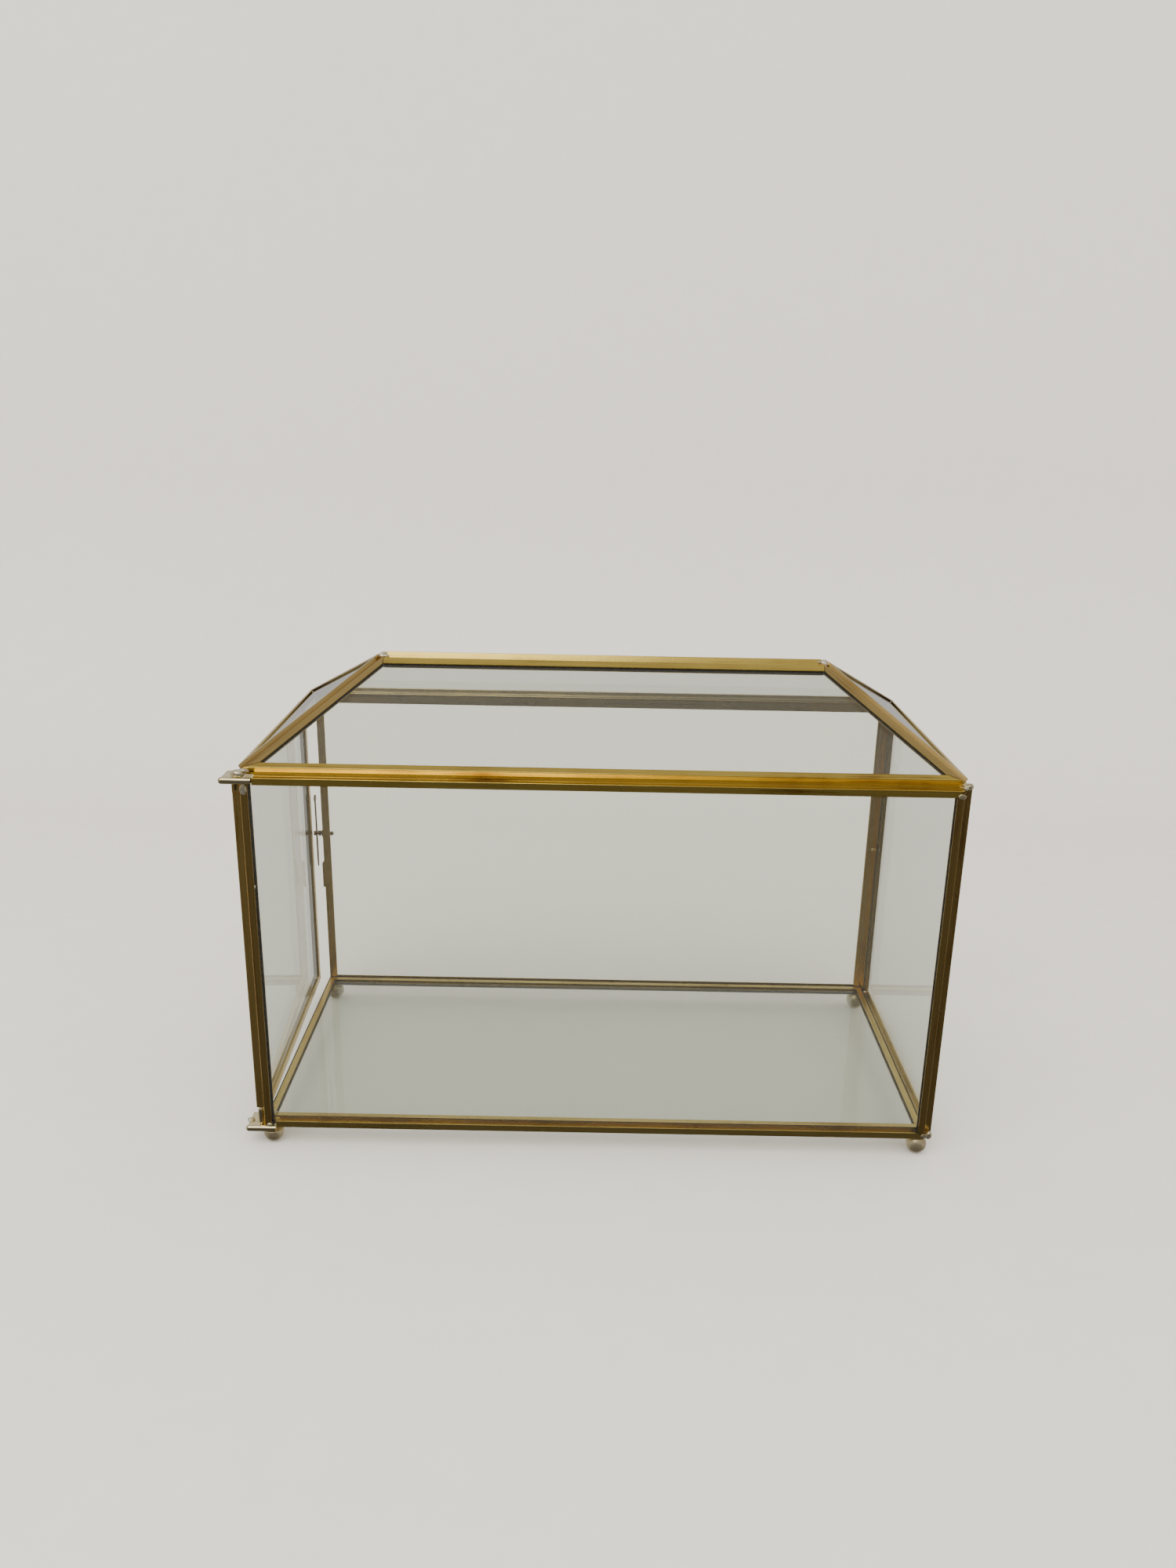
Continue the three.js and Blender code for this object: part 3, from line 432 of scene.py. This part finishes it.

# %% [markdown]
# ## Dressing the metal
# Each piece is softened and gets the brass whose streaks run along it. The hip rails all slope
# in different directions, so each gets a brass of its own. One brass mapped on unwrapped faces
# would serve every rail, but would need an unwrapping that keeps the length of each face.

# %% Dressing the metal
# The front eave and ridge gold is painted highlight. The front posts' brown, the rear eave and
# hips' darker brass and the near-black fittings are painted shade.
finish_of = {
    brass_across: ("base_rail_front", "base_rail_rear"),
    lit_gold_across: ("eave_rail_front", "ridge_rail"),
    shaded_across: ("eave_rail_rear",),
    brass_back: ("base_rail_left", "base_rail_right", "eave_rail_left", "eave_rail_right"),
    shaded_brass_upright: ("corner_post_front_left", "corner_post_front_right"),
    dull_upright: ("corner_post_rear_left", "corner_post_rear_right", "door_stop_tab"),
}
for material, names in finish_of.items():
    for name in names:
        softened(name, material)
HIP_RUN = Vector((RIDGE_LEFT - LEFT, MID_Y - INNER_FRONT, RIDGE - EAVE))
hips = (
    ("front_left", 1, 1, HIP_FINISH),
    ("front_right", -1, 1, HIP_FINISH),
    ("rear_left", 1, -1, REAR_SHADE_FINISH),
    ("rear_right", -1, -1, REAR_SHADE_FINISH),
)
for place, sign_x, sign_y, finish in hips:
    along = (HIP_RUN.x * sign_x, HIP_RUN.y * sign_y, HIP_RUN.z)
    softened("hip_rail_" + place, brass("brass_hip_" + place, along, finish))
for name in ("door_rail_top", "door_rail_bottom"):
    softened(name, brass_back, body="door")
for name in ("door_stile_hinge", "door_stile_latch"):
    softened(name, dull_upright, body="door")
for name in ("hinge_plate_bottom", "hinge_plate_top"):
    softened(name, bright_brass, bevel=PLATE_BEVEL)
for name in ("latch_rod", "latch_washer"):
    softened(name, patina_and_shade_brass, bevel=FITTING_BEVEL)
for name, material in (("pivot_pin_bottom", bright_brass), ("pivot_pin_top", patina_and_shade_brass)):
    softened(name, material, bevel=PIN_BEVEL, body="door")
softened("turn_button", patina_and_shade_brass, bevel=FITTING_BEVEL, body="button")

# %% [markdown]
# ## Panes
# A pane is a true slab in the CAD model, so it keeps its shape and only gets its material. A
# bevel would make its edges catch light, but on the real case the channels hide those edges.

# %% Panes
panes = [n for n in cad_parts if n.startswith("glass_")] + ["door_glass"]
for name in panes:
    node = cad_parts[name]
    node.data.materials.clear()
    node.data.materials.append(window_glass)
print("panes:", len(panes))

# %% [markdown]
# ## Panels
# The fixed walls and the roof are seven flat panels. Each is described here by its corners, in
# order round the panel as seen from outside, and by how far in millimetres the channel's inner
# lip reaches from each edge. A reach of nought says that there is no lip, as at the base.

# %% Panels
FRONT_LIP = 3.5
SIDE_LIP = 3.9
HIP_LIP = 3.1
RIDGE_LIP = 6.6
eave_corners = {
    "front_left": Vector((LEFT, INNER_FRONT, EAVE)),
    "front_right": Vector((RIGHT, INNER_FRONT, EAVE)),
    "rear_right": Vector((RIGHT, INNER_REAR, EAVE)),
    "rear_left": Vector((LEFT, INNER_REAR, EAVE)),
}
foot_corners = {name: Vector((c.x, c.y, BASE)) for name, c in eave_corners.items()}
ridge_left = Vector((RIDGE_LEFT, MID_Y, RIDGE))
ridge_right = Vector((RIDGE_RIGHT, MID_Y, RIDGE))


def wall(first, second):
    return [foot_corners[first], foot_corners[second], eave_corners[second], eave_corners[first]]


def slope(first, second, *top):
    return [eave_corners[first], eave_corners[second], *top]


panels = {
    "front": (wall("front_left", "front_right"), (0, FRONT_LIP, FRONT_LIP, FRONT_LIP)),
    "right": (wall("front_right", "rear_right"), (0, SIDE_LIP, SIDE_LIP, SIDE_LIP)),
    "rear": (wall("rear_right", "rear_left"), (0, SIDE_LIP, SIDE_LIP, SIDE_LIP)),
    "roof_front": (
        slope("front_left", "front_right", ridge_right, ridge_left),
        (SIDE_LIP, HIP_LIP, RIDGE_LIP, HIP_LIP),
    ),
    "roof_right": (slope("front_right", "rear_right", ridge_right), (SIDE_LIP,) * 3),
    "roof_rear": (slope("rear_right", "rear_left", ridge_left, ridge_right), (SIDE_LIP,) * 4),
    "roof_left": (slope("rear_left", "front_left", ridge_left), (SIDE_LIP,) * 3),
}
print("panels:", list(panels))

# %% [markdown]
# ## Dark lips
# A thin black strip lies on the inner lip of each channel, in the narrow space between the lip
# and the glass. It is painted shade for that gap, over the lip's own tarnish. The strip needs
# mitred ends, so it is built from the panel it belongs to: the corners of the panel are moved in
# by two distances, and the ring between the two outlines is filled. Cutting the strip out of the
# rail's own mesh would also work, but the panel's corners are simpler to reason about and give
# clean strips. The same ring makes the dark seam where the floor pane ends.


# %% Dark lips
LIP_DEPTH = 2.2
LIP_HEIGHTS = 0.46, 0.74
SEAM_WIDTH = 0.5
SEAM_HEIGHTS = 0.01, 0.05


def inset(corners, widths, lift):
    """The corners moved in from their edges, and out by the lift, all in millimetres."""
    count = len(corners)
    normal = (corners[1] - corners[0]).cross(corners[2] - corners[1]).normalized()
    along = [(corners[(i + 1) % count] - corners[i]).normalized() for i in range(count)]
    inward = [normal.cross(direction) for direction in along]
    moved = []
    for i in range(count):
        before = i - 1
        angle = math.pi - along[before].angle(along[i])
        slide = (widths[before] + widths[i] * math.cos(angle)) / math.sin(angle)
        step = inward[i] * widths[i] + along[i] * slide
        moved.append(corners[i] + step * MM + normal * lift * MM)
    return moved


def lip_ring(name, corners, outer, inner, heights):
    """A flat ring along the edges of a panel, between two widths and two heights."""
    low, high = heights
    rings = [
        inset(corners, outer, low),
        inset(corners, inner, low),
        inset(corners, inner, high),
        inset(corners, outer, high),
    ]
    count = len(corners)
    verts = [point for ring in rings for point in ring]
    faces = []
    wide_edges = [i for i in range(count) if inner[i] > outer[i]]
    for i in wide_edges:
        j = (i + 1) % count
        for ring in range(4):
            following = (ring + 1) % 4
            faces.append(
                (ring * count + i, ring * count + j, following * count + j, following * count + i)
            )
    mesh = bpy.data.meshes.new(name)
    mesh.from_pydata(verts, [], faces)
    mesh.update()
    new_piece(name, mesh, "case", lip_shade_and_tarnish)


# each ring is a dark strip of painted shade in the gap between lip and glass, over the lip's
# tarnish
for name, (corners, reaches) in panels.items():
    starts = [max(reach - LIP_DEPTH, 0) for reach in reaches]
    lip_ring("black_lip_" + name, corners, starts, reaches, LIP_HEIGHTS)
floor_corners = [corner + Vector((0, 0, CAME)) for corner in foot_corners.values()]
lip_ring("black_seam_floor", floor_corners, [0] * 4, [SEAM_WIDTH] * 4, SEAM_HEIGHTS)
print("black lips:", len(panels), "and the floor seam")

# %% [markdown]
# ## Ball feet
# Each foot is a solid brass ball with a flat filed on top for the solder and a tiny flat worn
# underneath. A ball with many faces keeps a smooth outline, and a slow noise moves its skin by
# a few hundredths of a millimetre, so that its highlight wavers as on a cast bead.


# %% Ball feet
FOOT_FLAT = 0.18 * MM  # how much of the ball is worn away underneath
DENT_SCALE = 420
DENT_DEPTH = 0.012  # as a share of the radius
SEED_STEP = 7.3


def smooth_mesh(work, name):
    """A mesh from the work in hand, shaded as one smooth surface."""
    for face in work.faces:
        face.smooth = True
    mesh = bpy.data.meshes.new(name)
    work.to_mesh(mesh)
    work.free()
    return mesh


def dented_ball(name, centre, radius, top, bottom, seed):
    work = bmesh.new()
    bmesh.ops.create_uvsphere(work, u_segments=64, v_segments=40, radius=radius)
    for vert in work.verts:
        wobble = noise.noise(vert.co * DENT_SCALE + Vector((seed, 0, 0)))
        vert.co *= 1 + DENT_DEPTH * wobble
        vert.co += centre
        vert.co.z = min(max(vert.co.z, bottom), top)
    return smooth_mesh(work, name)


feet = [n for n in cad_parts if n.startswith("foot_")]
for seed, name in enumerate(feet):
    low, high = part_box(name)
    radius = (high.x - low.x) / 2
    centre = (low + high) / 2
    centre.z = low.z + radius - FOOT_FLAT
    mesh = dented_ball(name + "_ball", centre, radius, high.z, low.z, seed * SEED_STEP)
    piece = new_piece(name + "_ball", mesh, "case", satin_balls)
    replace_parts(piece, name)
print("feet:", len(feet))

# %% [markdown]
# ## Solder lumps
# A lump starts as a fine ball that is squashed to the room it has. Noise at two sizes swells
# and wrinkles it. Metaballs would also flow together, but a displaced ball is quicker to
# place and gives the same result each time. Each row of the table places a lump from the
# case's own lines: a line in x, y and z, how far from that line in millimetres, then the three
# radii in millimetres and the seed of the noise. The front left joint at the base is a flat pad
# of solder, so its lump stands at the middle of that pad's box.


# %% Solder lumps
SWELL = 0.22  # how far the slow noise moves the skin, as a share of the radius
WRINKLE = 0.45 * SWELL
SLOW_SCALE = 1.3
QUICK_SCALE = 3.6
SEED_SHIFT = Vector((3.1, 1.7, 0.9))


def lump_mesh(name, centre, radii, seed):
    work = bmesh.new()
    bmesh.ops.create_icosphere(work, subdivisions=4, radius=1)
    shift = SEED_SHIFT * seed
    for vert in work.verts:
        slow = noise.noise(vert.co * SLOW_SCALE + shift)
        quick = noise.noise(vert.co * QUICK_SCALE + shift)
        vert.co *= 1 + SWELL * slow + WRINKLE * quick
        vert.co = Vector(c * r * MM for c, r in zip(vert.co, radii)) + centre
    return smooth_mesh(work, name)


def solder_lump(name, lines, radii, seed):
    centre = Vector([line + away * MM for line, away in lines])
    return new_piece(name, lump_mesh(name, centre, radii, seed), "case", solder)


pad_low, pad_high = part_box("solder_base_front_left")
pad = (pad_low + pad_high) / 2
lumps = (
    ("eave_front_right", (RIGHT, 1.5), (INNER_FRONT, -1.5), (EAVE, 0.9), (1.7, 1.6, 1.4), 1),
    ("eave_rear_right", (RIGHT, 1.5), (INNER_REAR, 1.6), (EAVE, 0.6), (1.9, 1.9, 2.2), 2),
    ("eave_rear_left", (LEFT, -1.2), (INNER_REAR, 1.6), (EAVE, 0.8), (1.8, 1.9, 2.0), 3),
    ("eave_front_left", (LEFT, -0.6), (INNER_FRONT, -1.7), (EAVE, 0.9), (3.1, 2.1, 1.6), 4),
    ("base_front_right", (RIGHT, 1.6), (INNER_FRONT, -1.9), (BASE, 1.2), (1.7, 1.6, 1.9), 5),
    ("base_rear_right", (RIGHT, 1.6), (INNER_REAR, 1.9), (BASE, 1.2), (1.7, 1.6, 1.9), 6),
    ("base_front_left", (pad.x, 0), (pad.y, 0), (pad.z, 0), (2.9, 2.7, 1.5), 11),
    ("ridge_left", (RIDGE_LEFT, -0.9), (MID_Y, -0.4), (RIDGE, 1.7), (2.0, 2.2, 1.4), 20),
    ("ridge_right", (RIDGE_RIGHT, 0.9), (MID_Y, -0.4), (RIDGE, 1.7), (2.0, 2.2, 1.4), 20),
)
for place, *lines, radii, seed in lumps:
    node = "solder_" + place
    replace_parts(solder_lump(node + "_lump", lines, radii, seed), node)
print("solder lumps:", len(lumps))

# %% [markdown]
# ## Beads and smears
# Solder also ran where nobody wanted it. Small beads stand on the hinge plates and posts, and
# flat smears cross the mitres. They are the same wrinkled ball, only squashed much flatter, and
# the table is read in the same way, except that the seeds just count up.

# %% Beads and smears
FIRST_SEED = 31
smears = (
    ("bead_plate_outer", (LEFT, -7.7), (FRONT, 5.4), (BASE, 0.2), (1.6, 1.4, 1.0)),
    ("bead_plate_inner", (LEFT, 2.1), (FRONT, 0.1), (BASE, 1.5), (1.2, 0.7, 0.7)),
    ("bead_plate_top", (LEFT, -3.6), (FRONT, 6.2), (EAVE, -0.7), (1.8, 1.5, 1.1)),
    ("smear_post_top", (LEFT, 1.4), (FRONT, -0.05), (EAVE, -5.6), (1.5, 0.4, 2.3)),
    ("smear_hip_foot", (LEFT, 1.6), (FRONT, 1.9), (EAVE, 2.2), (2.3, 1.5, 0.9)),
    ("fleck_post", (LEFT, 3.4), (FRONT, -0.05), (BASE, 119), (0.3, 0.25, 0.7)),
    ("smear_floor_corner", (LEFT, 2.8), (FRONT, 6), (BASE, 3.8), (1.7, 1.4, 0.7)),
    ("bead_eave_right", (RIGHT, -0.4), (FRONT, 0), (EAVE, 0.6), (0.9, 0.6, 0.8)),
    ("smear_post_right", (RIGHT, -1.6), (FRONT, -0.05), (EAVE, -3.1), (1.6, 0.3, 1.2)),
    ("smear_base_right", (RIGHT, -0.6), (FRONT, -0.05), (BASE, 1.7), (1.5, 0.3, 1.0)),
    ("bead_rear_post", (RIGHT, -0.7), (INNER_REAR, 0), (BASE, 86.8), (0.9, 0.5, 0.9)),
    ("bead_ridge_right", (RIDGE_RIGHT, -1.8), (MID_Y, -2.4), (RIDGE, 2.3), (0.9, 0.9, 0.8)),
    ("smear_ridge_left", (RIDGE_LEFT, -0.4), (MID_Y, -2.2), (RIDGE, 1.8), (2.6, 1.4, 0.9)),
    ("smear_rear_eave", (MID_X, -24), (INNER_REAR, 0), (EAVE, 0.4), (6.5, 0.5, 0.4)),
)
for seed, (name, *lines, radii) in enumerate(smears, FIRST_SEED):
    solder_lump(name, lines, radii, seed)
print("beads and smears:", len(smears))

# %% [markdown]
# ## Stile end
# The door's hinge stile runs up past the pin, so a folded end closes the last few millimetres
# round it. It is a small box with rounded edges, as wide and deep as the stile's own box, and
# it rides on the door.

# %% Stile end
STILE_BEVEL = 0.3 * MM
stile_low, stile_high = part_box("door_stile_hinge")
door_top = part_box("door_rail_top")[1].z
size = stile_high - stile_low
size.z = door_top - stile_high.z
centre = (stile_low + stile_high) / 2
centre.z = stile_high.z + size.z / 2
work = bmesh.new()
bmesh.ops.create_cube(work, size=1)
for vert in work.verts:
    vert.co = Vector(a * b for a, b in zip(vert.co, size)) + centre
bmesh.ops.bevel(
    work, geom=work.edges, offset=STILE_BEVEL, segments=3, affect="EDGES", profile=0.5
)
mesh = bpy.data.meshes.new("stile_end")
work.to_mesh(mesh)
work.free()
new_piece("stile_end", mesh, "door", dull_upright)
print("stile end:", [round(side / MM, 1) for side in size], "mm")

# %% [markdown]
# ## Latch wire
# On the latch rod two turns of wire keep the button away from the post. The wire is a curve
# whose points follow a helix, and the curve's round bevel makes the tube, so it needs no mesh
# work and its thickness can still be changed.

# %% Latch wire
WIRE_RADIUS = 0.3 * MM
COIL_RADIUS = 1.25 * MM
COIL_START = 0.4 * MM  # from the washer's face
COIL_LENGTH = 1.8 * MM
COIL_TURNS = 2.25
COIL_POINTS = 60
washer_low, washer_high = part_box("latch_washer")
rod = (washer_low + washer_high) / 2
wire = bpy.data.curves.new("latch_wire", "CURVE")
wire.dimensions = "3D"
wire.bevel_depth = WIRE_RADIUS
wire.bevel_resolution = 3
wire.materials.append(patina_and_shade_brass)
coil = wire.splines.new("POLY")
coil.points.add(COIL_POINTS - 1)
for i, point in enumerate(coil.points):
    share = i / (COIL_POINTS - 1)
    angle = 2 * math.pi * COIL_TURNS * share
    x = washer_low.x - COIL_START - COIL_LENGTH * share
    y = rod.y + COIL_RADIUS * math.cos(angle)
    z = rod.z + COIL_RADIUS * math.sin(angle)
    point.co = (x, y, z, 1)
latch_wire = bpy.data.objects.new("latch_wire", wire)
bpy.context.scene.collection.objects.link(latch_wire)
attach(latch_wire, "case")
print("wire turns:", COIL_TURNS)

# %% [markdown]
# ## Stage
# A pale floor that curves up into a pale wall gives the glass something plain to show. It is
# one sheet of matte plaster, so there is no corner behind the case to catch the eye. Mirror
# rays don't see it, and the world's own tones, further on, take its place in the metal.


# %% Stage
PLASTER = (0.78, 0.75, 0.7)


def make_plaster():
    material = fresh_material("pale_plaster")
    tree = material.node_tree
    grain = noise_at(tree, object_place(tree), 60.0, 6.0)
    tones = [(0.3, [c * 0.975 for c in PLASTER]), (0.7, PLASTER)]
    shader = add(tree, "ShaderNodeBsdfPrincipled")
    shader.inputs["Roughness"].default_value = 0.75
    shader.inputs["Specular IOR Level"].default_value = 0.2
    link(tree, ramp(tree, grain, tones), shader.inputs["Base Color"])
    show(tree, shader.outputs["BSDF"])
    return material


def sweep(width=6.0, near=-0.34, far=0.62, bend=0.25, height=1.3, steps=16):
    """A floor that turns up into a wall, as one smooth sheet."""
    line = [(near, 0.0), (far - bend, 0.0)]
    for i in range(1, steps + 1):
        angle = math.pi / 2 * i / steps
        line.append((far - bend + bend * math.sin(angle), bend - bend * math.cos(angle)))
    line.append((far, height))
    verts = [(x, y, z) for y, z in line for x in (-width / 2, width / 2)]
    faces = [(2 * i, 2 * i + 1, 2 * i + 3, 2 * i + 2) for i in range(len(line) - 1)]
    mesh = bpy.data.meshes.new("sweep")
    mesh.from_pydata(verts, [], faces)
    for polygon in mesh.polygons:
        polygon.use_smooth = True
    return mesh


stage = bpy.data.objects.new("stage", sweep())
bpy.context.scene.collection.objects.link(stage)
stage.data.materials.append(make_plaster())
stage.visible_glossy = False
print("stage:", [round(side, 2) for side in stage.dimensions])

# %% [markdown]
# ## Soft light
# A large soft panel hangs above, in front and to the left, and shines straight down. It draws
# the bright line along the ridge and the gold in the eave's groove. A small lamp would give
# hard shadows and a pinprick of light on each edge instead.

# %% Soft light
PANEL_PLACE = -0.55, -0.78, 1.3
PANEL_SIZE = 1.1, 0.9
PANEL_POWER = 9
PANEL_COLOUR = 1, 0.98, 0.92
window_light = bpy.data.lights.new("window_panel", "AREA")
window_light.shape = "RECTANGLE"
window_light.size, window_light.size_y = PANEL_SIZE
window_light.energy = PANEL_POWER
window_light.color = PANEL_COLOUR
window_panel = bpy.data.objects.new("window_panel", window_light)
bpy.context.scene.collection.objects.link(window_panel)
window_panel.location = PANEL_PLACE
print("panel hangs at", PANEL_PLACE)

# %% [markdown]
# ## World
# The world behind the stage has three faces. What lights the floor is even and bright, like a
# white room. What the metal mirrors is a room with a pale wall behind, a grey ceiling and
# darkness in front and below, because brass only looks like brass when it has something dark
# to reflect; the stage is hidden from mirror rays for the same reason. And the camera, where it
# looks past the stage, sees the tone of the wall. The Light Path node says which of the three
# a ray is asking for.

# %% World
DEPTH_STOPS = (0.0, 0.3), (0.14, 0.4), (0.34, 0.44), (0.66, 0.35), (0.93, 0.65)
RISE_SHARE = 0.9  # how much height counts beside depth in what is dark
DARK_FROM, DARK_TO = -1.3, 0.3
DARKNESS_BELOW = 0.17
ROOM_COLOUR = (1, 0.97, 0.93, 1)
ROOM_STRENGTH = 2.0
SEEN_COLOUR = (0.9, 0.87, 0.82, 1)
world = bpy.data.worlds.new("room")
bpy.context.scene.world = world
world.use_nodes = True
tree = world.node_tree
tree.nodes.clear()
direction = add(tree, "ShaderNodeTexCoord")
split = add(tree, "ShaderNodeSeparateXYZ")
link(tree, direction.outputs["Generated"], split.inputs["Vector"])


def warm_grey(value):
    return value, value * 0.97, value * 0.92


front_to_back = add(tree, "ShaderNodeMapRange", inputs={"From Min": -1.0, "From Max": 1.0})
link(tree, split.outputs["Y"], front_to_back.inputs["Value"])
depth_tones = [(place, warm_grey(tone)) for place, tone in DEPTH_STOPS]
depth_tone = ramp(tree, front_to_back.outputs["Result"], depth_tones)
rise = add(tree, "ShaderNodeMath", operation="MULTIPLY_ADD", inputs={1: RISE_SHARE})
link(tree, split.outputs["Z"], rise.inputs[0])
link(tree, split.outputs["Y"], rise.inputs[2])
dark_range = {"From Min": DARK_FROM, "From Max": DARK_TO}
below_front = add(tree, "ShaderNodeMapRange", inputs=dark_range)
link(tree, rise.outputs["Value"], below_front.inputs["Value"])
darkness = [(0.2, (DARKNESS_BELOW,) * 3), (0.65, (1,) * 3)]
dark_front = ramp(tree, below_front.outputs["Result"], darkness)
mirrored_room = add(tree, "ShaderNodeVectorMath", operation="MULTIPLY")
link(tree, depth_tone, mirrored_room.inputs[0])
link(tree, dark_front, mirrored_room.inputs[1])
ray = add(tree, "ShaderNodeLightPath")
mirrored = add(tree, "ShaderNodeBackground")
link(tree, mirrored_room.outputs["Vector"], mirrored.inputs["Color"])
even = add(tree, "ShaderNodeBackground", inputs={"Color": ROOM_COLOUR})
even.inputs["Strength"].default_value = ROOM_STRENGTH
seen = add(tree, "ShaderNodeBackground", inputs={"Color": SEEN_COLOUR})
lit = add(tree, "ShaderNodeMixShader")
link(tree, ray.outputs["Is Glossy Ray"], lit.inputs["Fac"])
link(tree, even.outputs["Background"], lit.inputs[1])
link(tree, mirrored.outputs["Background"], lit.inputs[2])
room = add(tree, "ShaderNodeMixShader")
link(tree, ray.outputs["Is Camera Ray"], room.inputs["Fac"])
link(tree, lit.outputs["Shader"], room.inputs[1])
link(tree, seen.outputs["Background"], room.inputs[2])
output = add(tree, "ShaderNodeOutputWorld")
link(tree, room.outputs["Shader"], output.inputs["Surface"])
print("world nodes:", len(tree.nodes))

# %% [markdown]
# ## Camera
# The camera stands a little over half a metre in front of the case and looks down by eighteen
# degrees, with a wide lens, so that the case is larger at the top and tapers to its feet. Its
# place is given from the middle of the case at its base, and its turn as three angles. A tilt
# of ninety degrees would look level, and the other two are the slight slants of a camera that
# is held by hand.

# %% Camera
FOCAL_LENGTH = 27.58
TILT, ROLL, PAN = 71.978, -0.992, 0.367
CAMERA_OFFSET = Vector((-5.8, -546.4, 322)) * MM
lens = bpy.data.cameras.new("camera")
lens.sensor_width = 36
lens.lens = FOCAL_LENGTH
lens.clip_start = 0.01
camera = bpy.data.objects.new("camera", lens)
bpy.context.scene.collection.objects.link(camera)
camera.location = Vector((MID_X, MID_Y, BASE)) + CAMERA_OFFSET
camera.rotation_euler = [math.radians(angle) for angle in (TILT, ROLL, PAN)]
bpy.context.scene.camera = camera
print("camera at", [round(v, 3) for v in camera.location])
